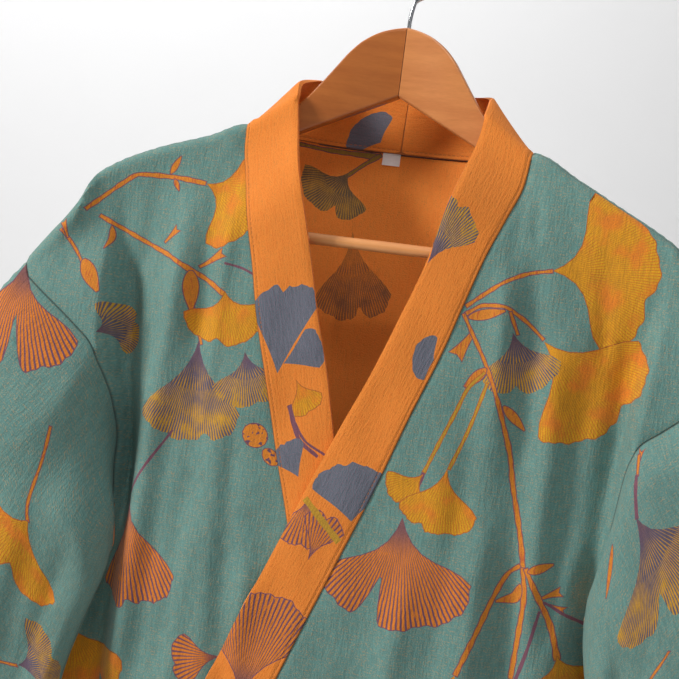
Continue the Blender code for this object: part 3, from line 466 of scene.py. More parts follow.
# The sleeves
sleeve = {
    "wall": 0.0016,
    "round": 0.44, "length": 0.38, "grid": 0.0055,
    "gap": 0.0022,          # between the seam and the sleeve at the underarm
    "cuffStitch": 0.020,
    "lap": {-1: 0.017, 1: 0.011},      # how far its inner fold lies over the body
    "lapFrom": 0.06, "lapEnd": (0.10, 0.45),
    "soon": 0.42,           # share of the length over which the armhole's ring becomes the sleeve's
    "swell": {-1: 0.28, 1: 0.16},      # sooner by this where the sleeve swells forward
    "swellAt": (0.13, 0.11),
    "drift": 1.4,
    "underarm": 7 / 32,     # share of a turn
    "first": 0.0667,        # share of the length that is kept clear at the underarm
}
# Down a sleeve: share of its length, outer edge out and height, inner edge out and height, depth,
# half its depth.
sleeveRows = {
    -1: ((0.00, 0.286, -0.173, 0.190, -0.380, -0.042, 0.028),
         (0.08, 0.2995, -0.2035, 0.1985, -0.399, -0.061, 0.024),
         (0.25, 0.326, -0.266, 0.200, -0.432, -0.065, 0.022),
         (0.50, 0.354, -0.360, 0.203, -0.488, -0.070, 0.021),
         (0.75, 0.374, -0.450, 0.211, -0.540, -0.078, 0.021),
         (1.00, 0.387, -0.540, 0.219, -0.588, -0.084, 0.023)),
    1: ((0.00, 0.294, -0.189, 0.213, -0.380, -0.042, 0.028),
        (0.08, 0.3065, -0.2190, 0.2180, -0.397, -0.060, 0.024),
        (0.25, 0.330, -0.281, 0.222, -0.432, -0.065, 0.022),
        (0.50, 0.357, -0.373, 0.226, -0.488, -0.070, 0.021),
        (0.75, 0.376, -0.461, 0.233, -0.540, -0.078, 0.021),
        (1.00, 0.388, -0.549, 0.241, -0.588, -0.084, 0.023)),
}
# Folds and creases on a sleeve: place round it in turns, start and end along it, half width in turns,
# depth.
sleeveFolds = (
    (0.17, 0.1, 1.0, 0.04, -0.005), (0.3, 0.25, 1.0, 0.045, 0.0045), (0.66, 0.15, 1.0, 0.045, -0.005),
    (0.82, 0.3, 1.0, 0.045, 0.0045),
)
sleeveCreases = (
    (0.06, 0.2, 1.0, 0.022, 0.0042), (0.13, 0.1, 1.0, 0.02, -0.0048), (0.21, 0.2, 1.0, 0.018, 0.0048),
    (0.29, 0.3, 1.0, 0.02, -0.0042), (0.38, 0.25, 1.0, 0.018, 0.0039), (0.57, 0.3, 1.0, 0.018, 0.0042),
    (0.67, 0.2, 1.0, 0.018, -0.0042), (0.77, 0.2, 1.0, 0.018, 0.0039), (0.9, 0.4, 1.0, 0.018, 0.0034),
)


def armholeRing(side, turn):
    # up the front from the underarm, down the back
    turn = np.mod(turn, 1.0)
    front = turn < 0.5
    layer = "over" if side > 0 else "under"
    a = armholePlace(side, frontArmhole, 1 - 2 * np.clip(turn, 0, 0.5))
    b = armholePlace(side, backArmhole, np.clip(2 * turn - 1, 0, 1))
    ahead, behind = clothPoint(layer, a[..., 0], a[..., 1]), clothPoint("back", b[..., 0], b[..., 1])
    points = np.where(front[..., None], ahead, behind)
    an = squareTo(lambda u, v: clothPoint(layer, u, v), a[..., 0], a[..., 1], 1.0)
    bn = squareTo(lambda u, v: clothPoint("back", u, v), b[..., 0], b[..., 1], -1.0)
    return points, np.where(front[..., None], an, bn)


def sleeveSection(side, part, turn):
    rows = np.array(sleeveRows[side])
    ox, oz, ix, iz, mid, half = [curve(rows[:, 0], rows[:, i], part) for i in range(1, 7)]
    angle = turn * 2 * math.pi
    across = (1 - np.cos(angle)) / 2
    deep = np.sign(np.sin(angle)) * np.abs(np.sin(angle)) ** 0.75
    lap = sleeve["lap"][side] * step(part / sleeve["lapFrom"]) * (1 - ease(part, sleeve["lapEnd"]))
    lap = lap * (1 - across) ** 2
    return np.stack([side * (ix - lap + (ox - ix) * across), mid - half * deep,
                     iz + (oz - iz) * across + robe["apexZ"]], axis=-1)


def sleeveRing(side, part, turn, loop):
    ring = sleeveSection(side, part, turn)
    soon = sleeve["soon"] - sleeve["swell"][side] * bell(turn, *sleeve["swellAt"])
    apart = loop - sleeveSection(side, np.zeros_like(part), turn)
    ring = ring + apart * (1 - step(part / soon))[..., None]
    depth = drift(turn * 0.45, part * 0.38 + side) * step(part / 0.3) * sleeve["drift"]
    for place, start, end, half, amount in sleeveFolds + sleeveCreases:
        depth = depth + amount * bell(turn, place, half) * ease(part, (start, 0.3))
    across = np.sin(turn * 2 * math.pi)
    ring[..., 1] += -np.sign(across) * depth * np.abs(across) ** 0.3
    return ring


def underarm(turn):
    # 1 at the underarm seam, 0 a little way round from it
    return 1 - step(np.minimum(turn, 1 - turn) / sleeve["underarm"])


def sleevePoint(side, a, b):
    # a runs round the sleeve from the underarm seam over the front, b down it from the armhole
    turn = np.mod(np.asarray(a, float) / sleeve["round"], 1.0)
    part = np.asarray(b, float) / sleeve["length"]
    loop, _ = armholeRing(side, turn)
    ring = sleeveRing(side, np.clip(part, 0, 1), turn, loop)
    first = sleeveRing(side, np.full_like(part, sleeve["first"]), turn, loop)
    pull = first - loop
    pull = pull / np.maximum(np.linalg.norm(pull, axis=-1, keepdims=True), 1e-9)
    away = (sleeve["gap"] * underarm(turn)) * np.clip(1 - part / sleeve["first"], 0, 1)
    return ring + pull * away[..., None]


def sleeveSquare(side, a, b):
    n = squareTo(lambda u, v: sleevePoint(side, u, v), a, b, -float(side))
    turn = np.mod(np.asarray(a, float) / sleeve["round"], 1.0)
    share = (1 - underarm(turn)) * np.clip(1 - np.asarray(b) / (0.05 * sleeve["length"]), 0, 1)
    n = n + (armholeRing(side, turn)[1] - n) * share[..., None]
    return n / np.maximum(np.linalg.norm(n, axis=-1, keepdims=True), 1e-12)


# What each kind of printed shape is painted with: its face, its outline, and both on the reverse.
paint = {
    "gold": (1, 6, 9, 9), "striped": (2, 2, 13, 13), "veined": (3, 5, 9, 9), "slate": (10, 10, 10, 10),
    "branch": (4, 5, 11, 5), "bud": (4, 5, 11, 5), "fork": (4, 5, 11, 5), "spot": (12, 5, 9, 5),
    "twig": (7, 6, 11, 11), "gilt": (7, 7, 7, 7), "stem": (5, 5, 5, 5),
}
leafShape = {
    "line": 0.0007,         # width of an outline
    "step": 0.0024,         # between points on it
    "scallop": 0.017, "notch": 0.085, "knot": 0.16,
    "fan": 0.36, "slateFan": 0.85,      # how fast a leaf opens from its stalk
    "clear": 0.0017,        # no grid point lies nearer to an outline
}


def edgeDistance(points, outline):
    # how far each point lies from the outline
    a = np.asarray(outline)
    d = np.roll(a, -1, axis=0) - a
    size = np.maximum((d * d).sum(axis=1), 1e-12)
    found = []
    for i in range(0, len(points), 4000):
        p = points[i:i + 4000, None, :]
        t = np.clip(((p - a) * d).sum(axis=2) / size, 0, 1)
        found.append(np.linalg.norm(a + d * t[..., None] - p, axis=2).min(axis=1))
    return np.concatenate(found)


def inset(outline, amount):
    before = outline - np.roll(outline, 1, axis=0)
    after = np.roll(outline, -1, axis=0) - outline
    before = before / np.maximum(np.linalg.norm(before, axis=1, keepdims=True), 1e-9)
    after = after / np.maximum(np.linalg.norm(after, axis=1, keepdims=True), 1e-9)
    inward = np.stack([-before[:, 1] - after[:, 1], before[:, 0] + after[:, 0]], axis=1)
    return outline + inward * (2.0 * amount / np.maximum((inward ** 2).sum(axis=1), 1.2))[:, None]


def turned(points):
    # the outline, anticlockwise
    x, z = points[:, 0], points[:, 1]
    return points if (x * np.roll(z, -1) - z * np.roll(x, -1)).sum() > 0 else points[::-1]


def leafOutline(flare, x, z, turn, wide, reach, depth, at):
    # a fan leaf from its stalk end: two sides that open, and a rim of crossing waves with one notch
    half = math.radians(wide) / 2
    seed = x * 190 + z * 310
    up = np.linspace(0.0, 1.0, 8)[:-1]
    sideFan = half * (flare + (1 - flare) * step(up / 0.90))
    rim = np.linspace(-1, 1, max(11, int(reach * 2 * half / leafShape["step"])))
    wave = leafShape["scallop"] * (np.sin(rim * 8 + seed) + 0.6 * np.sin(rim * 19 + seed * 2)
                                   + 0.45 * np.sin(rim * 43 + seed * 3))
    far = 1 - 0.13 * np.abs(rim) ** 5 - depth * bell(rim, at, leafShape["notch"]) + wave
    radius = np.concatenate([up * far[0], far, up[:0:-1] * far[-1]]) * reach
    angle = np.concatenate([-sideFan, rim * half, sideFan[:0:-1]]) + math.radians(turn)
    return turned(np.stack([x + radius * np.cos(angle), z + radius * np.sin(angle)], axis=1))


def lineOutline(kind, startWide, endWide, places):
    # a branch, stalk or bud along a path of places
    path = resample(places, leafShape["step"]) if len(places) > 2 else straight(*places, leafShape["step"])
    ahead = np.gradient(path, axis=0)
    ahead = ahead / np.linalg.norm(ahead, axis=1, keepdims=True)
    square = np.stack([-ahead[:, 1], ahead[:, 0]], axis=1)
    t = np.linspace(0, 1, len(path))
    half = (startWide + (endWide - startWide) * t) / 2
    if kind == "bud":
        half = half * (0.25 + 0.75 * np.sin(math.pi * t ** 0.8))
    elif kind == "fork":
        half = half * (0.35 + 0.65 * t ** 1.5)
    elif kind == "spot":
        half = half * np.sqrt(np.maximum(1 - (2 * t - 1) ** 2, 0.06))
    else:
        knots = np.sin(t * len(path) * 0.9 + places[0][0] * 90) * np.sin(t * len(path) * 0.37)
        half = half * (1 + leafShape["knot"] * knots)
    left, right = path + square * half[:, None], (path - square * half[:, None])[::-1]
    notch = [path[-2]] if kind == "fork" and len(path) > 3 else []
    return turned(np.concatenate([left, np.array(notch).reshape(-1, 2), right]))


def motifLoops(rows):
    # (outline, face kind, reverse kind, stalk end, direction, reach) for each printed shape, in order
    loops = []
    for row in rows:
        face, rim, back, backRim = paint[row[0]]
        if len(row) == 8:
            outline = leafOutline(leafShape["slateFan" if row[0] == "slate" else "fan"], *row[1:])
            place = (row[1], row[2], math.radians(row[3]), row[5])
        else:
            outline = lineOutline(*row)
            (x0, z0), (x1, z1) = row[3][0], row[3][-1]
            place = (x0, z0, math.atan2(z1 - z0, x1 - x0), math.hypot(x1 - x0, z1 - z0))
        loops.append((outline, rim, backRim, place))
        if rim != face:
            loops.append((inset(outline, leafShape["line"]), face, back, place))
    return loops


def layOut(outline, rows, spacing, lowSpacing=None):
    # triangles over a flat outline, with the printed shapes let into them
    loops = motifLoops(rows)
    edges = np.concatenate([outline] + [loop[0] for loop in loops])
    low, high = outline.min(axis=0), outline.max(axis=0)
    places = []
    for gap, bottom, top in ((spacing, robe["lowFrom"], high[1]), (lowSpacing, low[1], robe["lowFrom"])):
        if gap is None or top <= bottom:
            continue
        bottom = max(bottom, low[1])
        for i, z in enumerate(np.arange(bottom + gap * 0.4, top, gap * 0.87)):
            xs = np.arange(low[0] + gap * (0.25 + 0.5 * (i % 2)), high[0], gap)
            places.append(np.stack([xs, np.full(len(xs), z)], axis=1))
    places = np.concatenate(places)
    tree = KDTree(len(edges))
    for i, (x, z) in enumerate(edges):
        tree.insert((x, z, 0.0), i)
    tree.balance()
    near = np.array([tree.find((x, z, 0.0))[2] for x, z in places])
    places = places[near > leafShape["clear"]]
    faces, start = [], 0
    for points in [outline] + [loop[0] for loop in loops]:
        faces.append(list(range(start, start + len(points))))
        start += len(points)
    points = [Vector(p) for p in np.concatenate([edges, places])]
    flat, _, triangles, _, _, origin = delaunay_2d_cdt(points, [], faces, 1, 1e-7, True)
    kept = [(t, max(o)) for t, o in zip(triangles, origin) if 0 in o]
    flat = np.array([(p.x, p.y) for p in flat])
    triangles = np.array([t for t, _ in kept])
    a, b, c = (flat[triangles[:, i]] for i in range(3))
    flip = (b - a)[:, 0] * (c - a)[:, 1] < (b - a)[:, 1] * (c - a)[:, 0]
    triangles[flip] = triangles[flip][:, ::-1]
    return flat, triangles, np.array([o for _, o in kept]), loops


# Where the two skins and the rim of a piece lie on its OFBake map
bakeMap = {"size": (0.485, 0.965), "left": 0.006, "right": 0.508, "foot": 0.028, "rim": (0.016, 0.002)}
sharpAngle = 48


def writeMap(mesh, name, values):
    layer = mesh.uv_layers.new(name=name, do_init=False)
    layer.uv.foreach_set("vector", np.asarray(values, np.float32).reshape(-1))


def dropPoints(mesh, loose):
    work = bmesh.new()
    work.from_mesh(mesh)
    work.verts.ensure_lookup_table()
    bmesh.ops.delete(work, geom=[work.verts[int(i)] for i in loose], context="VERTS")
    work.to_mesh(mesh)
    work.free()


# plain gives the ground's kind on the outer and the inner skin; the inner 14 carries painted light
def makeCloth(name, laid, place, square, wall, material, seam, sew, outward=1.0, lift=0.0,
              plain=(0, 14), weld=None, swap=False):
    # two skins a wall apart over the laid-out triangles, with their rim and their maps
    flat, triangles, kinds, loops = laid
    outer = place(flat[:, 0], flat[:, 1])
    out = square(flat[:, 0], flat[:, 1]) * outward
    outer = outer + out * lift
    used = triangles if outward * (1 if not swap else -1) > 0 else triangles[:, ::-1]
    joined = np.arange(len(flat)) if weld is None else weld(flat)
    count = len(flat)
    ends = np.concatenate([used[:, [0, 1]], used[:, [1, 2]], used[:, [2, 0]]])
    near = joined[ends]
    key = np.sort(near, axis=1)
    _, inverse, counts = np.unique(key[:, 0] * count + key[:, 1], return_inverse=True, return_counts=True)
    rim = ends[counts[inverse.reshape(-1)] == 1]
    points = np.concatenate([outer, outer - out * wall])
    rimFaces = np.concatenate([np.stack([rim[:, 1], rim[:, 0], rim[:, 0] + count], axis=1),
                               np.stack([rim[:, 1], rim[:, 0] + count, rim[:, 1] + count], axis=1)])
    faces = np.concatenate([used, used[:, ::-1] + count, rimFaces])
    both = np.concatenate([joined, joined + count])
    mesh = bpy.data.meshes.new(name)
    mesh.from_pydata(points.tolist(), [], both[faces].tolist())
    corner = np.concatenate([flat, flat])[faces]
    loopFace = np.array([plain[0]] + [loop[1] for loop in loops])
    loopBack = np.array([plain[1]] + [loop[2] for loop in loops])
    loopPlace = np.array([(0, 0, 0, 1)] + [loop[3] for loop in loops], float)
    which = np.concatenate([kinds, kinds, np.zeros(len(rimFaces), int)])
    skin = np.arange(len(faces))
    inner = (skin >= len(used)) & (skin < 2 * len(used))
    code = np.where(inner, loopBack[which], loopFace[which]).astype(float)
    px, pz, turn, reach = (loopPlace[which][:, i, None] for i in range(4))
    dx, dz = corner[..., 0] - px, corner[..., 1] - pz
    ground = (which == 0)[:, None]
    leafX = np.where(ground, 0.0, dx * np.cos(turn) + dz * np.sin(turn))
    leafZ = np.where(ground, 0.0, dz * np.cos(turn) - dx * np.sin(turn))
    low, high = flat.min(axis=0), flat.max(axis=0)
    bake = (corner - low) / (high - low) * np.array(bakeMap["size"])
    half = np.where(skin < len(used), bakeMap["left"], bakeMap["right"])
    bake = bake + half[:, None, None] * np.array([1, 0]) + np.array([0, bakeMap["foot"]])
    n, m = len(rim), len(faces) - len(rimFaces)
    a, b = (np.arange(n) / n)[:, None], ((np.arange(n) + 1) / n)[:, None]
    top, foot = (np.full((n, 1), v) for v in bakeMap["rim"])
    bake[m:m + n] = np.stack([np.hstack([b, top]), np.hstack([a, top]), np.hstack([a, foot])], axis=1)
    bake[m + n:] = np.stack([np.hstack([b, top]), np.hstack([a, foot]), np.hstack([b, foot])], axis=1)
    writeMap(mesh, "OFBake", bake)
    writeMap(mesh, "cloth", corner)
    writeMap(mesh, "leaf", np.stack([leafX, leafZ], axis=-1))
    codes = np.repeat(code[:, None], 3, axis=1)
    writeMap(mesh, "kind", np.stack([codes, np.repeat(reach, 3, axis=1)], axis=-1))
    writeMap(mesh, "sew", sew(corner))
    near = np.concatenate([seam, seam])[faces]
    writeMap(mesh, "seam", np.stack([near, near], axis=-1))
    keep = np.unique(both[faces])
    loose = np.setdiff1d(np.arange(len(points)), keep)
    mesh.materials.append(material)
    mesh.polygons.foreach_set("use_smooth", np.ones(len(mesh.polygons), bool))
    item = bpy.data.objects.new(name, mesh)
    bpy.context.scene.collection.objects.link(item)
    if len(loose):
        dropPoints(mesh, loose)
    mesh.update()
    mesh.set_sharp_from_angle(angle=math.radians(sharpAngle))
    print(name, len(faces), "triangles")
    return item


def put(tree, kind, settings, inputs):
    node = tree.nodes.new("ShaderNode" + kind)
    for key, value in settings.items():
        setattr(node, key, value)
    for key, value in inputs.items():
        if isinstance(value, bpy.types.NodeSocket):
            tree.links.new(value, node.inputs[key])
        else:
            node.inputs[key].default_value = value
    return node


def calc(tree, operation, *values):
    return put(tree, "Math", {"operation": operation}, dict(enumerate(values))).outputs[0]


def arithmetic(tree):
    # plus, minus and times for the values of one material
    return [lambda a, b, kind=kind: calc(tree, kind, a, b) for kind in ("ADD", "SUBTRACT", "MULTIPLY")]


def rise(tree, value, start, end):
    node = put(tree, "MapRange", {"interpolation_type": "SMOOTHSTEP"}, {0: value, 1: start, 2: end})
    return node.outputs[0]


def blend(tree, share, a, b):
    return put(tree, "Mix", {"data_type": "RGBA"}, {0: share, 6: a, 7: b}).outputs[2]


def noise(tree, vector, scale, detail=2.0, rough=0.5):
    values = {"Vector": vector, "Scale": scale, "Detail": detail, "Roughness": rough}
    return put(tree, "TexNoise", {}, values).outputs[0]


def stretched(tree, vector, x, y, z=1.0):
    return put(tree, "Mapping", {}, {"Vector": vector, "Scale": (x, y, z)}).outputs[0]


def mapParts(tree, name):
    place = put(tree, "UVMap", {"uv_map": name}, {}).outputs[0]
    return put(tree, "SeparateXYZ", {}, {0: place}).outputs


def objectPlace(tree):
    return put(tree, "TexCoord", {}, {}).outputs["Object"]


def linear(colour):
    return tuple(((c / 255 + 0.055) / 1.055) ** 2.4 if c > 10 else c / 255 / 12.92 for c in colour) + (1.0,)


def steps(tree, value, colours):
    # one flat colour for each whole number, up to 16 of them
    node = put(tree, "ValToRGB", {}, {0: calc(tree, "DIVIDE", calc(tree, "ADD", value, 0.5), 16.0)})
    ramp = node.color_ramp
    ramp.interpolation = "CONSTANT"
    for i, colour in enumerate(colours):
        stop = ramp.elements[0] if i == 0 else ramp.elements.new(i / 16)
        stop.position = i / 16
        stop.color = linear(colour)
    ramp.elements.remove(ramp.elements[-1])
    return node.outputs[0]


def newMaterial(name, roughness, sheen=0.0, metallic=0.0):
    material = bpy.data.materials.new(name)
    material.use_nodes = True
    tree = material.node_tree
    shader = tree.nodes["Principled BSDF"]
    shader.inputs["Roughness"].default_value = roughness
    shader.inputs["Metallic"].default_value = metallic
    shader.inputs["Sheen Weight"].default_value = sheen
    return material, tree, shader


def dress(tree, shader, colour, rough, height, strength, deep):
    bump = put(tree, "Bump", {}, {"Strength": strength, "Distance": deep, "Height": height}).outputs[0]
    for name, value in (("Base Color", colour), ("Roughness", rough), ("Normal", bump)):
        tree.links.new(value, shader.inputs[name])


# Two colours for each kind of paint, which the patterns mix.
clothColours = (
    ((98, 140, 134), (176, 136, 90)),    # 0 teal ground, with flecks
    ((210, 150, 20), (196, 96, 22)),     # 1 gold leaf, with its lines
    ((92, 84, 104), (198, 146, 40)),     # 2 slate leaf, with mustard lines
    ((214, 122, 34), (110, 72, 92)),     # 3 orange leaf, with purple veins
    ((212, 128, 34), (184, 92, 40)),     # 4 branch
    ((122, 76, 92), (96, 62, 84)),       # 5 purple line
    ((178, 98, 38), (150, 76, 34)),      # 6 dark orange line
    ((186, 140, 38), (140, 108, 50)),    # 7 mustard
    ((236, 136, 46), (190, 96, 30)),     # 8 orange ground
    ((206, 124, 50), (140, 92, 60)),     # 9 purple lines on the reverse
    ((94, 110, 122), (122, 98, 112)),    # 10 slate
    ((152, 124, 52), (116, 100, 72)),    # 11 olive stalk on the reverse
    ((218, 130, 36), (104, 70, 92)),     # 12 orange with spots
    ((108, 92, 72), (196, 150, 60)),     # 13 dark leaf with mustard lines, on the reverse
    # 14 is the orange ground 8 painted lighter, as painted light on the robe's inside
    ((252, 150, 58), (208, 112, 40)),    # 14 orange ground of the reverse
)
clothLook = {
    "thread": 560.0, "slub": 82.0, "crumb": 900.0,      # how fine the weave is, per metre
    "contrast": 0.52, "bright": 0.90,
    "clouds": 26.0, "cloudShare": 0.20,
    "fleck": 0.50,
    "vein": 0.0040, "veinWide": (0.32, 0.30),       # space for a vein, and its width from stalk to rim
    "hatch": (1.7, 3.4),        # how dense the fine lines are in the inner and the outer half of a leaf
    "warm": (218, 118, 30), "dusk": (98, 72, 90),
    "stitch": 0.0036, "stitchShare": 0.62,
    # painted shade: in the groove of a seam, and in the dip along a line of stitches
    "seamShade": (38, 34, 32), "dip": (60, 52, 48),
    "sheen": 0.06, "roughness": 0.88, "bump": 0.7, "bumpDeep": 0.0006,
}


def makeClothMaterial(name, long, stitchColour):
    # woven cloth: long says along which way of the map the slubs run, 0 or 1
    look = clothLook
    material, tree, shader = newMaterial(name, look["roughness"], look["sheen"])
    plus, minus, times = arithmetic(tree)
    cloth = put(tree, "UVMap", {"uv_map": "cloth"}, {}).outputs[0]
    leaf, kind, sew, seam = [mapParts(tree, part) for part in ("leaf", "kind", "sew", "seam")]
    across = (look["thread"], look["slub"]) if long == 1 else (look["slub"], look["thread"])
    warp = noise(tree, stretched(tree, cloth, across[0], across[1]), 1.0, 2.0)
    weft = noise(tree, stretched(tree, cloth, across[1] * 1.4, across[0] * 1.4), 1.0, 2.0)
    crumb = rise(tree, noise(tree, cloth, look["crumb"], 1.0), 0.28, 0.72)
    grain = plus(times(rise(tree, warp, 0.28, 0.72), 0.40), plus(times(weft, 0.20), times(crumb, 0.40)))
    cloudy = noise(tree, cloth, look["clouds"], 3.0)
    code, reach = kind[0], kind[1]
    first, second = [steps(tree, code, [pair[i] for pair in clothColours]) for i in (0, 1)]
    away = calc(tree, "SQRT", plus(times(leaf[0], leaf[0]), times(leaf[1], leaf[1])))
    share = calc(tree, "DIVIDE", away, reach)
    angle = calc(tree, "ARCTAN2", leaf[1], leaf[0])
    patchy = noise(tree, cloth, 85.0, 2.0)
    wobble = times(minus(noise(tree, cloth, 130.0, 1.0), 0.5), 0.5)
    many = calc(tree, "DIVIDE", times(reach, math.pi), look["vein"] * 2)

    def lines(often):
        bent = plus(times(angle, many), wobble)
        return calc(tree, "ABSOLUTE", calc(tree, "SINE", times(bent, often)))

    def isKind(number):
        return calc(tree, "COMPARE", code, float(number), 0.3)

    def sink(value, start, end):
        return minus(1.0, rise(tree, value, start, end))

    # veins that widen towards the rim
    width = plus(look["veinWide"][0], times(share, look["veinWide"][1]))
    stripe = times(sink(minus(lines(2.0), width), -0.16, 0.16), rise(tree, patchy, 0.20, 0.40))
    # fine lines, twice as many in the outer half, which spread in patches
    inner, outer = [lines(often) for often in look["hatch"]]
    half = rise(tree, share, 0.46, 0.54)
    hatch = put(tree, "Mix", {"data_type": "FLOAT"}, {0: half, 2: inner, 3: outer}).outputs[0]
    spread = plus(times(rise(tree, share, 0.10, 0.80), 0.62), times(minus(patchy, 0.40), 1.3))
    streak = sink(minus(hatch, spread), -0.22, 0.22)
    thin = sink(hatch, 0.20, 0.62)
    spots = rise(tree, noise(tree, cloth, 260.0, 1.0), 0.56, 0.62)
    flecks = times(rise(tree, crumb, 0.45, 0.85), rise(tree, weft, 0.42, 0.60))
    ground = times(rise(tree, grain, 0.50, 0.70), 0.5)
    dull = plus(times(thin, 0.3), times(crumb, 0.5))
    # how far each kind of paint goes from its first colour to its second
    masks = (
        (0, times(flecks, look["fleck"])), (1, times(thin, 0.80)), (2, streak), (3, stripe),
        (4, rise(tree, warp, 0.52, 0.66)), (8, ground), (9, streak), (10, dull), (12, spots),
        (13, times(streak, 0.8)), (14, ground),
    )
    mask = 0.0
    for number, pattern in masks:
        mask = plus(mask, times(isKind(number), pattern))
    colour = blend(tree, mask, first, second)
    # gold warms towards orange in clouds, purple gathers at the stalk of the others
    warm = times(isKind(1), rise(tree, noise(tree, cloth, 46.0, 2.0), 0.45, 0.68))
    colour = blend(tree, times(warm, 0.8), colour, linear(look["warm"]))
    dusk = times(plus(isKind(3), isKind(2)), sink(share, 0.08, 0.40))
    colour = blend(tree, times(dusk, 0.8), colour, linear(look["dusk"]))
    # weave and slubs over everything
    weave = plus(times(grain, look["contrast"]), times(cloudy, look["cloudShare"]))
    lift = plus(look["bright"] - look["contrast"] / 2, weave)
    colour = put(tree, "HueSaturation", {}, {"Color": colour, "Value": lift}).outputs[0]
    # a line of stitches with painted shade in the dip beside it, and painted shade in the groove of a seam
    beside = calc(tree, "ABSOLUTE", sew[0])
    part = calc(tree, "FRACT", calc(tree, "DIVIDE", sew[1], look["stitch"]))
    stitch = times(calc(tree, "LESS_THAN", part, look["stitchShare"]), sink(beside, 0.00015, 0.00045))
    # painted shade in the dip along the stitches
    dip = sink(beside, 0.0, 0.0016)
    seamShade = sink(seam[0], 0.0001, 0.0010)
    colour = blend(tree, times(seamShade, 0.62), colour, linear(look["seamShade"]))
    colour = blend(tree, times(dip, 0.06), colour, linear(look["dip"]))
    colour = blend(tree, times(stitch, 0.8), colour, linear(stitchColour))
    height = plus(grain, minus(stitch, plus(dip, seamShade)))
    rough = plus(0.80, times(grain, 0.16))
    dress(tree, shader, colour, rough, height, look["bump"], look["bumpDeep"])
    return material


# Printed leaves and branches. A leaf is: kind, across, height, direction in degrees, how wide it
# opens, reach, depth of its notch and where that is (-1 to 1). A branch is: kind, width at its
# start and end, and its places.
frontRightPrint = (
    ("branch", 0.004, 0.0048, ((-0.236, -0.122), (-0.222, -0.108), (-0.21, -0.097), (-0.196, -0.088),
     (-0.169, -0.087), (-0.141, -0.089))), ("bud", 0.006, 0.006, ((-0.172, -0.085), (-0.165, -0.069))),
    ("bud", 0.005, 0.005, ((-0.168, -0.088), (-0.162, -0.098))),
    ("gold", -0.141, -0.089, -18, 125, 0.056, 0.05, 0.1),
    ("branch", 0.004, 0.0048, ((-0.225, -0.125), (-0.207, -0.133), (-0.18, -0.144), (-0.157, -0.152),
     (-0.136, -0.162), (-0.122, -0.169), (-0.11, -0.176))),
    ("bud", 0.0055, 0.0055, ((-0.214, -0.132), (-0.212, -0.142), (-0.216, -0.152))),
    ("fork", 0.008, 0.008, ((-0.168, -0.141), (-0.156, -0.127))),
    ("fork", 0.009, 0.009, ((-0.135, -0.157), (-0.114, -0.142))),
    ("stem", 0.002, 0.0018, ((-0.113, -0.151), (-0.1, -0.153), (-0.086, -0.158))),
    ("branch", 0.0028, 0.0032, ((-0.139, -0.162), (-0.138, -0.18), (-0.131, -0.204), (-0.125, -0.219))),
    ("bud", 0.012, 0.012, ((-0.14, -0.16), (-0.137, -0.192))),
    ("gold", -0.11, -0.173, -78, 138, 0.044, 0.1, -0.2),
    ("striped", -0.128, -0.215, -87, 72, 0.081, 0.05, 0.25),
    ("striped", -0.087, -0.219, -74, 105, 0.044, 0.05, 0.1),
    ("striped", -0.208, -0.219, 27, 150, 0.026, 0.2, 0.05),
    ("stem", 0.0018, 0.0026, ((-0.14, -0.29), (-0.156, -0.318), (-0.173, -0.347))),
    ("veined", -0.174, -0.348, -77, 56, 0.09, 0.06, -0.1),
    ("spot", 0.02, 0.02, ((-0.08, -0.28), (-0.06, -0.288))),
    ("spot", 0.012, 0.012, ((-0.062, -0.294), (-0.049, -0.305))),
    ("veined", -0.076, -0.464, -166, 75, 0.04, 0.05, 0.1),
    ("branch", 0.0032, 0.0032, ((-0.253, -0.139), (-0.24, -0.153), (-0.226, -0.17))),
    ("fork", 0.0065, 0.0065, ((-0.246, -0.147), (-0.252, -0.13))),
    ("bud", 0.013, 0.013, ((-0.23, -0.162), (-0.212, -0.187))),
    ("gold", -0.215, -0.47, -60, 104, 0.062, 0.3, 0.2),
    ("branch", 0.0032, 0.004, ((-0.262, -0.42), (-0.238, -0.446), (-0.216, -0.468))),
    ("branch", 0.0036, 0.0046, ((-0.12, -0.56), (-0.128, -0.61), (-0.15, -0.66), (-0.158, -0.72))),
    ("striped", -0.158, -0.718, -96, 88, 0.08, 0.32, -0.2),
    ("gold", -0.09, -0.6, -70, 110, 0.058, 0.1, 0.1), ("veined", -0.23, -0.62, -84, 96, 0.082, 0.4, 0.15),
    ("stem", 0.002, 0.003, ((-0.214, -0.56), (-0.226, -0.59), (-0.23, -0.622))),
    ("gold", -0.06, -0.81, -58, 118, 0.074, 0.28, -0.2),
    ("branch", 0.0034, 0.0044, ((-0.128, -0.745), (-0.094, -0.77), (-0.062, -0.808))),
    ("bud", 0.011, 0.011, ((-0.1, -0.765), (-0.112, -0.792))),
    ("striped", -0.25, -0.83, -98, 84, 0.078, 0.2, 0.1),
    ("veined", -0.15, -0.93, -80, 100, 0.088, 0.36, 0.2),
    ("stem", 0.0022, 0.003, ((-0.18, -0.86), (-0.166, -0.895), (-0.151, -0.932))),
    ("gold", -0.01, -0.96, -110, 108, 0.068, 0.16, 0.2),
    ("striped", -0.06, -1.05, -76, 96, 0.07, 0.22, -0.1),
    ("gold", -0.228, -1.03, -68, 116, 0.072, 0.26, 0.1),
    ("branch", 0.0036, 0.0044, ((-0.276, -0.96), (-0.25, -0.99), (-0.23, -1.028))),
    ("veined", 0.05, -1.06, -92, 92, 0.076, 0.34, 0.1),
)
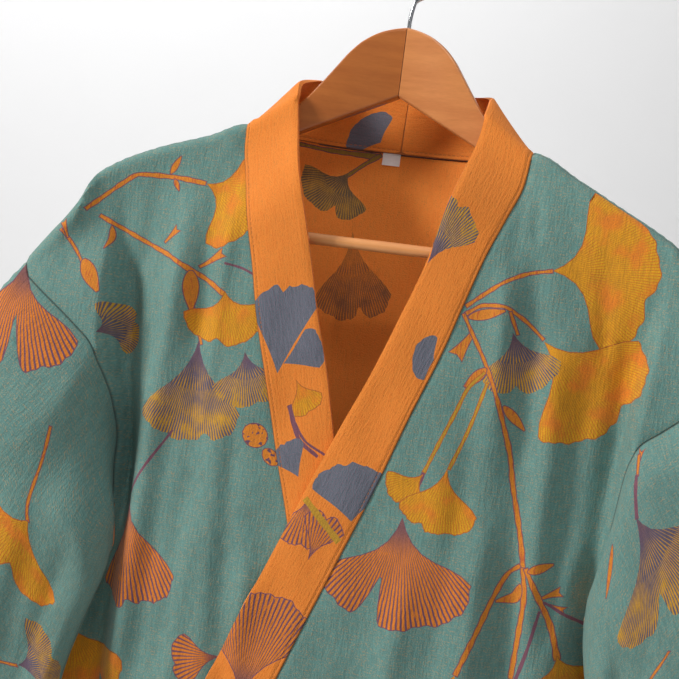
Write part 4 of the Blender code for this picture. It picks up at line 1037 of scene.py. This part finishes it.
frontLeftPrint = (
    ("gold", 0.146, -0.125, 9, 122, 0.081, 0.07, -0.35), ("gold", 0.147, -0.18, -39, 94, 0.083, 0.06, 0.1),
    ("branch", 0.004, 0.0036, ((0.084, -0.161), (0.098, -0.149), (0.114, -0.137), (0.13, -0.129),
     (0.147, -0.125))),
    ("branch", 0.004, 0.0034, ((0.084, -0.167), (0.099, -0.158), (0.113, -0.157), (0.126, -0.163),
     (0.147, -0.179))), ("bud", 0.009, 0.009, ((0.087, -0.169), (0.116, -0.16))),
    ("striped", 0.123, -0.176, -71, 96, 0.048, 0.12, -0.2),
    ("branch", 0.0032, 0.0032, ((0.119, -0.16), (0.127, -0.178))),
    ("fork", 0.014, 0.014, ((0.092, -0.181), (0.081, -0.201))),
    ("branch", 0.0036, 0.005, ((0.083, -0.166), (0.092, -0.181), (0.105, -0.202), (0.117, -0.226),
     (0.126, -0.251), (0.133, -0.273), (0.137, -0.291), (0.146, -0.323), (0.152, -0.346), (0.154, -0.356))),
    ("bud", 0.008, 0.008, ((0.123, -0.233), (0.141, -0.251))),
    ("bud", 0.009, 0.009, ((0.107, -0.206), (0.091, -0.223))),
    ("twig", 0.0032, 0.0032, ((0.106, -0.209), (0.094, -0.224), (0.088, -0.241), (0.081, -0.26),
     (0.069, -0.293))), ("stem", 0.0032, 0.004, ((0.069, -0.293), (0.065, -0.307), (0.058, -0.328))),
    ("twig", 0.003, 0.003, ((0.109, -0.217), (0.099, -0.255), (0.088, -0.288))),
    ("gold", 0.069, -0.294, -129, 95, 0.032, 0.08, 0.2), ("gold", 0.087, -0.287, -95, 86, 0.052, 0.1, -0.3),
    ("veined", 0.057, -0.33, -88, 104, 0.088, 0.45, -0.28),
    ("branch", 0.0042, 0.005, ((0.152, -0.354), (0.143, -0.362), (0.135, -0.38), (0.126, -0.409),
     (0.114, -0.445))),
    ("branch", 0.005, 0.005, ((0.154, -0.355), (0.158, -0.381), (0.157, -0.405), (0.155, -0.444))),
    ("bud", 0.009, 0.009, ((0.154, -0.368), (0.151, -0.379), (0.136, -0.385))),
    ("branch", 0.0048, 0.0056, ((0.156, -0.355), (0.17, -0.379), (0.182, -0.402), (0.189, -0.424))),
    ("gold", 0.188, -0.42, -72, 110, 0.042, 0.1, 0.2),
    ("bud", 0.008, 0.008, ((0.158, -0.358), (0.177, -0.35))),
    ("fork", 0.009, 0.009, ((0.171, -0.377), (0.186, -0.37))),
    ("fork", 0.007, 0.007, ((0.177, -0.382), (0.191, -0.385))),
    ("stem", 0.0022, 0.0032, ((0.173, -0.38), (0.194, -0.39), (0.228, -0.406))),
    ("stem", 0.0022, 0.0032, ((0.171, -0.387), (0.165, -0.42), (0.159, -0.444))),
    ("gold", 0.114, -0.444, -108, 104, 0.066, 0.2, 0.2),
    ("striped", 0.156, -0.444, -84, 84, 0.082, 0.3, -0.1),
    ("veined", 0.228, -0.5, -80, 98, 0.078, 0.36, 0.2),
    ("stem", 0.0022, 0.003, ((0.206, -0.444), (0.22, -0.47), (0.228, -0.502))),
    ("branch", 0.0036, 0.0048, ((0.05, -0.54), (0.072, -0.58), (0.096, -0.63), (0.104, -0.69))),
    ("gold", 0.104, -0.688, -78, 112, 0.08, 0.24, -0.1),
    ("bud", 0.012, 0.012, ((0.086, -0.604), (0.104, -0.628))),
    ("veined", 0.0, -0.6, -108, 96, 0.07, 0.4, 0.1), ("striped", 0.216, -0.68, -92, 92, 0.084, 0.26, 0.2),
    ("branch", 0.0034, 0.0044, ((0.184, -0.6), (0.2, -0.636), (0.216, -0.678))),
    ("gold", 0.02, -0.79, -66, 116, 0.076, 0.2, 0.1), ("veined", 0.16, -0.85, -86, 102, 0.09, 0.42, -0.2),
    ("stem", 0.0022, 0.0032, ((0.13, -0.79), (0.148, -0.82), (0.16, -0.852))),
    ("gold", 0.262, -0.86, -100, 110, 0.07, 0.24, 0.1), ("striped", 0.06, -0.96, -96, 94, 0.078, 0.3, 0.2),
    ("branch", 0.0036, 0.0046, ((0.01, -0.88), (0.038, -0.916), (0.06, -0.958))),
    ("gold", 0.206, -1.03, -74, 112, 0.078, 0.22, -0.1), ("veined", 0.0, -1.06, -84, 94, 0.072, 0.34, 0.1),
    ("striped", 0.12, -1.08, -96, 90, 0.07, 0.24, 0.1),
)
backPrint = (
    ("branch", 0.003, 0.0056, ((-0.092, -0.0435), (-0.052, -0.046), (-0.018, -0.0462))),
    ("branch", 0.0042, 0.0032, ((-0.016, -0.044), (-0.03, -0.054), (-0.044, -0.066))),
    ("striped", -0.042, -0.062, -120, 125, 0.04, 0.25, 0.25),
    ("veined", -0.032, -0.111, -81, 62, 0.074, 0.12, 0.15),
    ("gold", 0.15, -0.15, -40, 112, 0.078, 0.2, 0.1),
    ("branch", 0.004, 0.0048, ((0.06, -0.11), (0.09, -0.118), (0.122, -0.13), (0.152, -0.149))),
    ("bud", 0.01, 0.01, ((0.092, -0.116), (0.108, -0.096))),
    ("striped", 0.088, -0.21, -100, 92, 0.08, 0.3, -0.1),
    ("stem", 0.0022, 0.003, ((0.118, -0.15), (0.104, -0.18), (0.089, -0.212))),
    ("gold", -0.15, -0.17, -130, 110, 0.076, 0.18, 0.2),
    ("branch", 0.004, 0.0048, ((-0.07, -0.112), (-0.098, -0.126), (-0.126, -0.146), (-0.151, -0.169))),
    ("veined", -0.106, -0.3, -86, 100, 0.088, 0.42, 0.2),
    ("stem", 0.0022, 0.0032, ((-0.118, -0.232), (-0.112, -0.268), (-0.106, -0.302))),
    ("gold", 0.04, -0.35, -62, 116, 0.078, 0.22, 0.1),
    ("branch", 0.0036, 0.0046, ((-0.02, -0.28), (0.01, -0.312), (0.04, -0.348))),
    ("striped", 0.19, -0.33, -84, 96, 0.078, 0.3, 0.2), ("gold", -0.2, -0.4, -72, 112, 0.07, 0.2, -0.1),
    ("veined", 0.12, -0.48, -96, 98, 0.09, 0.4, -0.2),
    ("stem", 0.0024, 0.0032, ((0.15, -0.41), (0.136, -0.446), (0.12, -0.482))),
    ("striped", -0.03, -0.5, -80, 90, 0.082, 0.28, 0.1), ("gold", 0.22, -0.56, -104, 108, 0.072, 0.22, 0.1),
    ("branch", 0.0036, 0.0046, ((-0.21, -0.5), (-0.186, -0.54), (-0.16, -0.58))),
    ("gold", -0.16, -0.578, -66, 114, 0.08, 0.24, -0.2),
    ("veined", 0.03, -0.65, -76, 102, 0.088, 0.38, 0.2),
    ("striped", 0.16, -0.72, -98, 92, 0.078, 0.26, 0.1), ("gold", -0.08, -0.76, -110, 112, 0.076, 0.2, 0.1),
    ("branch", 0.0038, 0.0048, ((-0.01, -0.68), (-0.04, -0.716), (-0.078, -0.758))),
    ("veined", -0.23, -0.78, -82, 96, 0.08, 0.36, -0.1), ("gold", 0.08, -0.86, -60, 116, 0.078, 0.22, 0.1),
    ("striped", -0.15, -0.93, -94, 94, 0.082, 0.3, 0.1), ("veined", 0.22, -0.93, -88, 98, 0.084, 0.38, 0.2),
    ("gold", 0.01, -1.01, -86, 112, 0.076, 0.2, -0.1), ("striped", 0.13, -1.05, -78, 92, 0.076, 0.28, 0.1),
    ("gold", -0.23, -1.05, -100, 108, 0.072, 0.22, 0.1),
)
bandRightPrint = (
    ("slate", 1.319, 0.006, 146, 140, 0.026, 0.04, 0.0), ("slate", 0.966, 0.008, 16, 58, 0.067, 0.08, -0.1),
    ("gold", 0.957, 0.022, 165, 70, 0.03, 0.05, 0.0), ("slate", 0.972, 0.014, 80, 66, 0.034, 0.05, 0.1),
    ("stem", 0.004, 0.0024, ((0.939, 0.014), (0.913, 0.018), (0.893, 0.032))),
    ("stem", 0.0024, 0.0016, ((0.933, 0.014), (0.909, 0.023), (0.893, 0.038))),
    ("slate", 0.882, 0.014, -16, 70, 0.03, 0.05, 0.0), ("veined", 0.76, 0.02, 170, 84, 0.06, 0.2, 0.1),
    ("slate", 0.6, 0.01, 30, 70, 0.05, 0.1, 0.0), ("gilt", 0.005, 0.006, ((0.48, 0.002), (0.505, 0.044))),
    ("veined", 0.4, 0.03, 175, 80, 0.06, 0.2, 0.1), ("slate", 0.22, 0.012, 20, 74, 0.052, 0.1, 0.1),
    ("veined", 0.08, 0.026, 10, 84, 0.056, 0.2, 0.0),
)
bandLeftPrint = (
    ("striped", 1.062, 0.0455, -12, 62, 0.055, 0.1, 0.1),
    ("slate", 1.003, 0.002, 100, 160, 0.02, 0.03, 0.0), ("slate", 0.861, 0.003, 29, 104, 0.045, 0.06, 0.1),
    ("veined", 0.86, 0.042, -160, 100, 0.04, 0.1, 0.0), ("veined", 0.817, 0.019, 3, 60, 0.04, 0.1, 0.0),
    ("gilt", 0.005, 0.0058, ((0.858, 0.044), (0.842, 0.004))),
    ("veined", 0.692, 0.016, 16, 80, 0.088, 0.1, 0.3), ("slate", 0.56, 0.03, 180, 80, 0.056, 0.1, 0.1),
    ("gilt", 0.005, 0.006, ((0.47, 0.044), (0.448, 0.003))),
    ("veined", 0.38, 0.016, 10, 80, 0.062, 0.2, 0.1), ("slate", 0.2, 0.034, 170, 72, 0.052, 0.1, 0.0),
    ("veined", 0.07, 0.02, 0, 84, 0.056, 0.2, 0.0),
)
sleeveLeftPrint = (
    ("fork", 0.0075, 0.0075, ((0.13, 0.01), (0.136, 0.002))),
    ("branch", 0.0036, 0.0036, ((0.132, 0.004), (0.126, 0.018))),
    ("stem", 0.0032, 0.0048, ((0.126, 0.016), (0.112, 0.039))),
    ("striped", 0.112, 0.037, 89, 100, 0.074, 0.3, 0.2),
    ("bud", 0.007, 0.007, ((0.078, 0.026), (0.058, 0.048))),
    ("gold", 0.06, 0.18, 110, 104, 0.066, 0.2, 0.1), ("veined", 0.15, 0.21, 80, 96, 0.078, 0.36, 0.2),
    ("branch", 0.0034, 0.0042, ((0.1, 0.13), (0.078, 0.152), (0.06, 0.182))),
    ("gold", 0.11, 0.3, 96, 104, 0.06, 0.2, 0.1), ("gold", 0.29, 0.06, 84, 110, 0.072, 0.2, 0.1),
    ("branch", 0.0034, 0.0042, ((0.33, 0.02), (0.31, 0.036), (0.29, 0.062))),
    ("veined", 0.37, 0.13, 96, 98, 0.076, 0.38, 0.2), ("striped", 0.27, 0.22, 100, 94, 0.072, 0.3, 0.1),
    ("gold", 0.36, 0.29, 88, 108, 0.064, 0.2, 0.0),
)
sleeveRightPrint = (
    ("veined", 0.214, -0.006, 124, 92, 0.078, 0.55, 0.05),
    ("striped", 0.062, 0.236, -132, 96, 0.064, 0.1, 0.1),
    ("branch", 0.0026, 0.0036, ((0.096, 0.262), (0.078, 0.25), (0.062, 0.237))),
    ("gold", 0.09, 0.1, 84, 108, 0.064, 0.2, 0.1),
    ("branch", 0.0034, 0.0042, ((0.12, 0.056), (0.104, 0.076), (0.09, 0.102))),
    ("veined", 0.15, 0.2, 96, 98, 0.076, 0.38, 0.2), ("gold", 0.11, 0.3, 90, 108, 0.06, 0.2, 0.0),
    ("gold", 0.3, 0.07, 96, 110, 0.072, 0.2, 0.1), ("veined", 0.37, 0.16, 84, 98, 0.074, 0.38, 0.2),
    ("striped", 0.28, 0.24, 88, 94, 0.07, 0.3, 0.1), ("gold", 0.36, 0.3, 96, 104, 0.062, 0.2, 0.0),
)


def panelSheet(name, layer, outline, rows, node):
    laid = layOut(outline, rows, robe["backGrid"] if layer == "back" else robe["grid"], robe["lowGrid"])
    outward = -1.0 if layer == "back" else 1.0

    def square(x, z):
        return squareTo(lambda u, v: clothPoint(layer, u, v), x, z)

    def place(x, z):
        near = edgeDistance(np.stack([x, z], axis=1), outline)
        dip = robe["tuck"] * (1 - step(near / robe["tuckWide"]))
        dip = dip * step((z + robe["length"]) / robe["hemWide"])
        return clothPoint(layer, x, z) - square(x, z) * outward * dip[:, None]

    def sew(corner):
        return np.stack([corner[..., 1] + robe["length"] - robe["hemStitch"], corner[..., 0]], axis=-1)

    # no painted seam shade along the hem
    hem = 1 - step((laid[0][:, 1] + robe["length"]) / robe["hemWide"])
    near = edgeDistance(laid[0], outline) + 0.05 * hem
    item = makeCloth(name, laid, place, square, robe["wall"], robeCloth, near, sew, outward)
    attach(item, "root")
    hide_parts(node)


def bandSheet(name, side, rows, node):
    run = bandRun(side) + band["backRun"]
    wide = band["width"]
    low = straight((0, -band["under"]), (run, -band["under"]), band["grid"])
    high = straight((run, wide), (0, wide), band["grid"])
    upA, upB = straight(low[-1], high[0], band["grid"]), straight(high[-1], low[0], band["grid"])
    outline = np.concatenate([low, upA[1:-1], high, upB[1:-1]])
    laid = layOut(outline, rows, band["grid"])

    def place(s, t):
        return bandPoint(side, s, t) - square(s, t) * side * dipOf(s, t)[:, None]

    def dipOf(s, t):
        # the seam lies low, the free edge rolls over, and the stitching puckers a little
        seam = band["dip"] * (1 - step((t + band["under"]) / band["dipWide"]))
        roll = band["roll"] * step((t - wide + band["rollWide"]) / band["rollWide"]) ** 2
        pucker = np.sin(s * 420 + 3 * side) * bell(t, band["stitch"], band["puckerWide"])
        return seam + roll + band["pucker"] * pucker

    def square(s, t):
        return squareTo(lambda u, v: bandPoint(side, u, v), s, np.clip(t, 0.0009, wide - 0.0009))

    def sew(corner):
        return np.stack([corner[..., 1] - band["stitch"], corner[..., 0]], axis=-1)

    # how far from the seam and from the band's end, for the painted seam shade
    near = np.minimum(laid[0][:, 1] + band["under"], run - laid[0][:, 0])
    item = makeCloth(name, laid, place, square, band["wall"], bandCloth, near, sew, float(side),
                     band["proud"], (8, 8))
    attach(item, "root")
    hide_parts(node)


def sleeveSheet(name, side, rows, node):
    around, down = sleeve["round"], sleeve["length"]
    top = straight((0, 0), (around, 0), sleeve["grid"] * 0.9)
    edge = straight((around, 0), (around, down), sleeve["grid"])
    foot, back = top[::-1][1:] + (0, down), edge[::-1][1:-1] - (around, 0)
    outline = np.concatenate([top, edge[1:], foot, back])
    laid = layOut(turned(outline), rows, sleeve["grid"])

    def weld(flat):
        # the last column is the first one again
        first = {round(b, 6): i for i, (a, b) in enumerate(flat) if abs(a) < 1e-6}
        return np.array([first.get(round(b, 6), i) if abs(a - around) < 1e-6 else i
                         for i, (a, b) in enumerate(flat)])

    def square(a, b):
        return sleeveSquare(side, a, b)

    def place(a, b):
        rise = sleeve["wall"] * step(b / 0.05) - robe["tuck"] * (1 - step(b / robe["tuckWide"]))
        return sleevePoint(side, a, b) + square(a, b) * rise[:, None]

    def sew(corner):
        return np.stack([corner[..., 1] - down + sleeve["cuffStitch"], corner[..., 0]], axis=-1)

    # how far from the armhole and underarm seams, for the painted seam shade
    near = np.minimum(laid[0][:, 1], np.minimum(laid[0][:, 0], around - laid[0][:, 0]))
    item = makeCloth(name, laid, place, square, sleeve["wall"], robeCloth, near, sew, weld=weld,
                     swap=side > 0)
    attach(item, "root")
    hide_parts(node)


def addMesh(name, points, faces, material, sharp=40):
    mesh = bpy.data.meshes.new(name)
    mesh.from_pydata([tuple(p) for p in points], [], faces)
    mesh.materials.append(material)
    mesh.polygons.foreach_set("use_smooth", np.ones(len(mesh.polygons), bool))
    mesh.set_sharp_from_angle(angle=math.radians(sharp))
    item = bpy.data.objects.new(name, mesh)
    bpy.context.scene.collection.objects.link(item)
    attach(item, "root")
    print(name, len(faces), "faces")
    return item


def rings(rows, wide, flip=False):
    # faces between rings of points, with closed ends
    faces = []
    for i in range(rows - 1):
        for j in range(wide):
            k = (j + 1) % wide
            faces.append((i * wide + j, i * wide + k, (i + 1) * wide + k, (i + 1) * wide + j))
    faces.append(tuple(reversed(range(wide))))
    faces.append(tuple((rows - 1) * wide + j for j in range(wide)))
    return [f[::-1] for f in faces] if flip else faces


def tubeRings(path, radii, sides):
    path = np.asarray(path, float)
    ahead = np.gradient(path, axis=0)
    ahead = ahead / np.linalg.norm(ahead, axis=1, keepdims=True)
    points = []
    for p, d, r in zip(path, ahead, radii):
        b = np.cross((0.0, 1.0, 0.0), d)
        b = b / np.linalg.norm(b)
        c = np.cross(b, d)
        for j in range(sides):
            a = -2 * math.pi * j / sides
            points.append(p + r * (b * math.cos(a) + c * math.sin(a)))
    return points


# The hanger
wood = {
    "corner": 0.0030, "cornerPoints": 6,        # its edges are rounded
    "along": 0.0030,        # between sections of an arm
    "bar": 0.0046, "barReach": 0.2056, "barY": -0.0390, "barZ": -0.1225,
    "barRings": 90, "barSides": 28, "barWave": 0.00008,
    # light and dark tone, lean of the grain, roughness, coat
    # one wood: the left arm's tones are painted lighter as painted light, the right arm's darker as painted
    # shade
    "woodLeftLit": ((214, 138, 78), (186, 108, 56), 0.55, 0.32, 0.30),
    "woodRightShaded": ((188, 110, 50), (160, 86, 36), -0.55, 0.32, 0.30),
    "woodBar": ((232, 162, 98), (206, 130, 74), 0.0, 0.42, 0.1),
    "figure": 0.55, "figureSize": (9.0, 60.0, 105.0),
    "pore": 0.16, "poreSize": (70.0, 900.0, 900.0),
    "coatRough": 0.20, "bump": 0.08, "bumpDeep": 0.0004,
}
# Along an arm: distance out, top, bottom, depth, half thickness.
woodRows = (
    (0.00025, 0.0575, 0.0005, -0.0006, 0.0072), (0.008, 0.056, -0.0035, -0.0014, 0.0072),
    (0.02, 0.052, -0.0095, -0.0032, 0.0071), (0.034, 0.043, -0.0166, -0.0058, 0.007),
    (0.0435, 0.033, -0.0214, -0.0076, 0.0069), (0.052, 0.021, -0.0257, -0.0092, 0.0068),
    (0.061, 0.008, -0.0302, -0.011, 0.0067), (0.071, -0.0055, -0.0355, -0.0131, 0.0065),
    (0.08, -0.016, -0.0404, -0.015, 0.0064), (0.098, -0.0305, -0.0505, -0.0185, 0.0062),
    (0.118, -0.0425, -0.0615, -0.0227, 0.0062), (0.14, -0.0535, -0.0735, -0.0273, 0.0062),
    (0.17, -0.068, -0.0893, -0.0335, 0.0062), (0.2, -0.084, -0.1063, -0.0385, 0.0062),
    (0.206, -0.0874, -0.1095, -0.0393, 0.006), (0.207, -0.088, -0.129, -0.0395, 0.006),
    (0.215, -0.093, -0.131, -0.0402, 0.006), (0.2195, -0.098, -0.126, -0.0406, 0.0052),
)


def makeWood(name, light, dark, lean, roughness, coat):
    # soft long grain and fine pores, under a satin coat
    material, tree, shader = newMaterial(name, roughness)
    plus, _, times = arithmetic(tree)
    shader.inputs["Coat Weight"].default_value = coat
    shader.inputs["Coat Roughness"].default_value = wood["coatRough"]
    place = {"Vector": objectPlace(tree), "Rotation": (0.0, lean, 0.0)}
    bent, pores = [put(tree, "Mapping", {}, {**place, "Scale": wood[size]}).outputs[0]
                   for size in ("figureSize", "poreSize")]
    figure, fine = noise(tree, bent, 1.0, 4.0, 0.6), noise(tree, pores, 1.0, 2.0)
    share = times(rise(tree, figure, 0.30, 0.72), wood["figure"])
    value = plus(1.0 - wood["pore"] / 2, times(fine, wood["pore"]))
    colour = blend(tree, share, linear(light), linear(dark))
    colour = put(tree, "HueSaturation", {}, {"Color": colour, "Value": value}).outputs[0]
    rough = plus(roughness - 0.06, times(fine, 0.12))
    dress(tree, shader, colour, rough, fine, wood["bump"], wood["bumpDeep"])
    return material


def woodSection(top, bottom, mid, half):
    r = min(wood["corner"], half * 0.62)
    points = []
    for cy, cz, start in ((mid + half - r, top - r, 0), (mid - half + r, top - r, 1),
                          (mid - half + r, bottom + r, 2), (mid + half - r, bottom + r, 3)):
        for i in range(wood["cornerPoints"]):
            a = (start + i / (wood["cornerPoints"] - 1)) * math.pi / 2
            points.append((cy + r * math.cos(a), cz + r * math.sin(a)))
    return points


def buildArm(name, side, node):
    rows = np.array(woodRows)
    xs = np.unique(np.concatenate([rows[:, 0], np.arange(rows[0, 0], rows[-1, 0], wood["along"])]))
    top, bottom, mid, half = [curve(rows[:, 0], rows[:, i], xs) for i in range(1, 5)]
    points = []
    for x, t, b, m, h in zip(xs, top, bottom, mid, half):
        for y, z in woodSection(t, b, m, h):
            points.append((side * x, y, z + robe["apexZ"]))
    faces = rings(len(xs), 4 * wood["cornerPoints"], side < 0)
    item = addMesh(name, points, faces, makeWood(name, *wood[name]), 55)
    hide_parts(node)


def buildBar(name, node):
    reach, count, sides = wood["barReach"], wood["barRings"], wood["barSides"]
    xs = np.linspace(-reach, reach, count)
    y, z = np.full(count, wood["barY"]), np.full(count, wood["barZ"] + robe["apexZ"])
    radii = wood["bar"] + wood["barWave"] * np.sin(xs * 90)
    points = tubeRings(np.stack([xs, y, z], axis=1), radii, sides)
    item = addMesh(name, points, rings(count, sides), makeWood(name, *wood[name]))
    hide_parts(node)


hook = {
    "inside": 0.0190, "wire": 0.0017, "sides": 20, "grid": 0.0016,
    "bend": (-62, 191, 4),      # degrees: from, to, step
    "tip": (0.92, 0.72, 0.36),
    "bright": (214, 215, 218), "dull": (190, 192, 196),
    "smear": 160.0, "polish": 900.0, "rough": (0.09, 0.12), "bump": 0.03,
}
# The hook's stem, from the wood up to its bend: across, height.
hookPath = (
    (0.0, -0.0632), (0.0002, -0.056), (0.001, -0.049), (0.0024, -0.0425), (0.0054, -0.0395),
)


def makeChrome(name):
    material, tree, shader = newMaterial(name, 0.14, 0.0, 1.0)
    plus, _, times = arithmetic(tree)
    place = objectPlace(tree)
    smear, polish = noise(tree, place, hook["smear"], 3.0), noise(tree, place, hook["polish"], 2.0)
    colour = blend(tree, smear, linear(hook["bright"]), linear(hook["dull"]))
    rough = plus(hook["rough"][0], times(smear, hook["rough"][1]))
    dress(tree, shader, colour, rough, polish, hook["bump"], 0.0002)
    return material


def buildHook(name, node, material):
    r = hook["inside"] + hook["wire"]
    turns = np.radians(np.arange(*hook["bend"]))
    bend = [(r * math.cos(a), -hook["inside"] + r * math.sin(a)) for a in turns]
    line = np.concatenate([resample(hookPath, hook["grid"]), bend])
    path = np.stack([line[:, 0], np.zeros(len(line)), line[:, 1]], axis=1)
    radii = np.full(len(path), hook["wire"])
    radii[-3:] = hook["wire"] * np.array(hook["tip"])      # rounded tip
    points, faces = tubeRings(path, radii, hook["sides"]), rings(len(path), hook["sides"])
    item = addMesh(name, points, faces, material, 60)
    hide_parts(node)


label = {
    "size": (0.0150, 0.0110, 0.0006),
    "corner": (-0.0150, -0.0415),       # across, and height from the apex
    "points": (16, 13),
    "gap": 0.0005,          # behind it
    "lift": 0.0003, "wave": 420,
    "light": (250, 250, 247), "shade": (226, 226, 222), "ribs": (240.0, 240.0, 3600.0),
    "rough": (0.5, 0.2), "bump": 0.4,
}


def makeLabelCloth(name):
    # a bare woven tag
    material, tree, shader = newMaterial(name, 0.6, 0.1)
    plus, _, times = arithmetic(tree)
    ribs = noise(tree, stretched(tree, objectPlace(tree), *label["ribs"]), 1.0, 1.0)
    colour = blend(tree, ribs, linear(label["shade"]), linear(label["light"]))
    rough = plus(label["rough"][0], times(ribs, label["rough"][1]))
    dress(tree, shader, colour, rough, ribs, label["bump"], 0.0002)
    return material


def buildLabel(name, node, material):
    wide, tall, thick = label["size"]
    left, top = label["corner"]
    rows, columns = label["points"]
    xs = np.linspace(left, left + wide, rows)
    zs = np.linspace(top, top - tall, columns)
    u, v = np.meshgrid(xs, zs, indexing="ij")
    behind = clothPoint("back", u, v)
    out = squareTo(lambda a, b: clothPoint("back", a, b), u, v, -1.0)
    hang = (zs[0] - v) / tall
    lift = label["lift"] * hang * (1 + np.sin((u - left) * label["wave"]))
    near = (behind - out * (robe["wall"] + label["gap"] + lift)[..., None]).reshape(-1, 3)
    far = (behind - out * (robe["wall"] + label["gap"] + thick + lift)[..., None]).reshape(-1, 3)
    faces, count = [], rows * columns
    for i in range(rows - 1):
        for j in range(columns - 1):
            a = i * columns + j
            quad = (a, a + 1, a + columns + 1, a + columns)
            faces += [quad, tuple(count + k for k in reversed(quad))]
    border = [i * columns for i in range(rows)] + [(rows - 1) * columns + j for j in range(1, columns)]
    border += [i * columns + columns - 1 for i in reversed(range(rows - 1))]
    border += list(reversed(range(1, columns - 1)))
    for a, b in zip(border, border[1:] + border[:1]):
        faces.append((a, b, count + b, count + a))
    item = addMesh(name, np.concatenate([far, near]), faces, material)
    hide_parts(node)


robeCloth = makeClothMaterial("robeCloth", 1, robe["stitchColour"])
bandCloth = makeClothMaterial("bandCloth", 0, band["stitchColour"])
print("cloth ready")

buildArm("woodLeftLit", 1, "hanger_left")
buildArm("woodRightShaded", -1, "hanger_right")
buildBar("woodBar", "hanger_bar")
buildHook("metalHook", "hanger_hook", makeChrome("hookChrome"))
print("hanger built")

panelSheet("clothBack", "back", backOutline(), backPrint, "back")
panelSheet("clothFrontLeft", "over", frontOutline(1), frontLeftPrint, "front_left")
panelSheet("clothFrontRight", "under", frontOutline(-1), frontRightPrint, "front_right")
bandSheet("clothBandLeft", 1, bandLeftPrint, "band_left")
bandSheet("clothBandRight", -1, bandRightPrint, "band_right")
sleeveSheet("clothSleeveLeft", 1, sleeveLeftPrint, "sleeve_left")
sleeveSheet("clothSleeveRight", -1, sleeveRightPrint, "sleeve_right")
buildLabel("sizeTag", "size_label", makeLabelCloth("tagCloth"))
print("robe built")


# Room, light and camera
room = {
    "floorZ": -1.46, "wallY": 5.6, "wide": 45.0, "top": 5.0,
    "wall": (232, 232, 233), "floor": (224, 223, 221), "speck": 3,
    "air": (0.80, 0.81, 0.82, 1.0), "glow": 0.15,
    "aim": (0.0, 0.0, -0.45), "wallAim": -2.4,      # where the lights point
}
# Name, power, size, place, colour.
lights = (
    ("key", 106.0, 0.9, (-2.7, -1.7, 1.2), (1.0, 0.985, 0.96)),
    ("fill", 8.0, 2.4, (1.9, -2.4, 0.2), (0.96, 0.98, 1.0)),
    ("neck", 10.0, 0.5, (0.25, -1.3, 1.35), (1.0, 1.0, 1.0)),
    ("back", 16.0, 1.0, (2.6, 2.0, 0.9), (1.0, 1.0, 1.0)),
    ("top", 8.0, 1.0, (0.1, 0.2, 1.5), (1.0, 1.0, 1.0)),
    ("wall", 228.0, 5.0, (-2.6, 3.7, 3.0), (1.0, 1.0, 1.0)),
)
shot = {
    "turn": 12.0, "rise": 2.0, "roll": 7.3,     # degrees
    "away": 1.35, "aim": (-0.016, -0.04, -0.321),
    "sensor": 36.0, "focus": 1688.0, "picture": 679,        # the last two in pixels
}


def makeRoom():
    faces = [(0, 1, 2, 3)]
    w, y, z = room["wide"], room["wallY"], room["floorZ"]
    for name, corners, colour in (
            ("floor", [(-w, -w, z), (w, -w, z), (w, y + 0.1, z), (-w, y + 0.1, z)], room["floor"]),
            ("wall", [(-w, y, z - 0.1), (w, y, z - 0.1), (w, y, room["top"]), (-w, y, room["top"])],
             room["wall"])):
        mesh = bpy.data.meshes.new(name)
        mesh.from_pydata(corners, [], faces)
        material, tree, shader = newMaterial(name + "Paint", 0.9)
        speck = noise(tree, objectPlace(tree), 3.0, 2.0)
        darker = tuple(c - room["speck"] for c in colour)
        tree.links.new(blend(tree, speck, linear(colour), linear(darker)), shader.inputs["Base Color"])
        mesh.materials.append(material)
        item = bpy.data.objects.new(name, mesh)
        bpy.context.scene.collection.objects.link(item)


def makeLights():
    for name, power, size, place, colour in lights:
        data = bpy.data.lights.new(name, "AREA")
        data.energy = power
        data.size = size
        data.color = colour
        item = bpy.data.objects.new(name, data)
        item.location = place
        aim = Vector((room["wallAim"], room["wallY"], 0.0) if name == "wall" else room["aim"])
        item.rotation_euler = (aim - Vector(place)).to_track_quat("-Z", "Y").to_euler()
        bpy.context.scene.collection.objects.link(item)
    world = bpy.data.worlds.new("air")
    world.use_nodes = True
    background = world.node_tree.nodes["Background"]
    background.inputs[0].default_value = room["air"]
    background.inputs[1].default_value = room["glow"]
    bpy.context.scene.world = world
    bpy.context.scene.view_settings.view_transform = "Standard"


def makeCamera():
    a, e, r = (math.radians(shot[key]) for key in ("turn", "rise", "roll"))
    away = Vector((math.sin(a) * math.cos(e), -math.cos(a) * math.cos(e), math.sin(e)))
    right = (-away).cross(Vector((0, 0, 1))).normalized()
    up = right.cross(-away)
    x = right * math.cos(r) + up * math.sin(r)
    y = up * math.cos(r) - right * math.sin(r)
    data = bpy.data.cameras.new("camera")
    data.lens = shot["focus"] * shot["sensor"] / shot["picture"]
    data.sensor_width = shot["sensor"]
    item = bpy.data.objects.new("camera", data)
    place = Vector(shot["aim"]) + away * shot["away"]
    item.matrix_world = Matrix(((x.x, y.x, away.x, place.x), (x.y, y.y, away.y, place.y),
                                (x.z, y.z, away.z, place.z), (0, 0, 0, 1)))
    bpy.context.scene.collection.objects.link(item)
    bpy.context.scene.camera = item


makeRoom()
makeLights()
makeCamera()
print("room, lights and camera set")
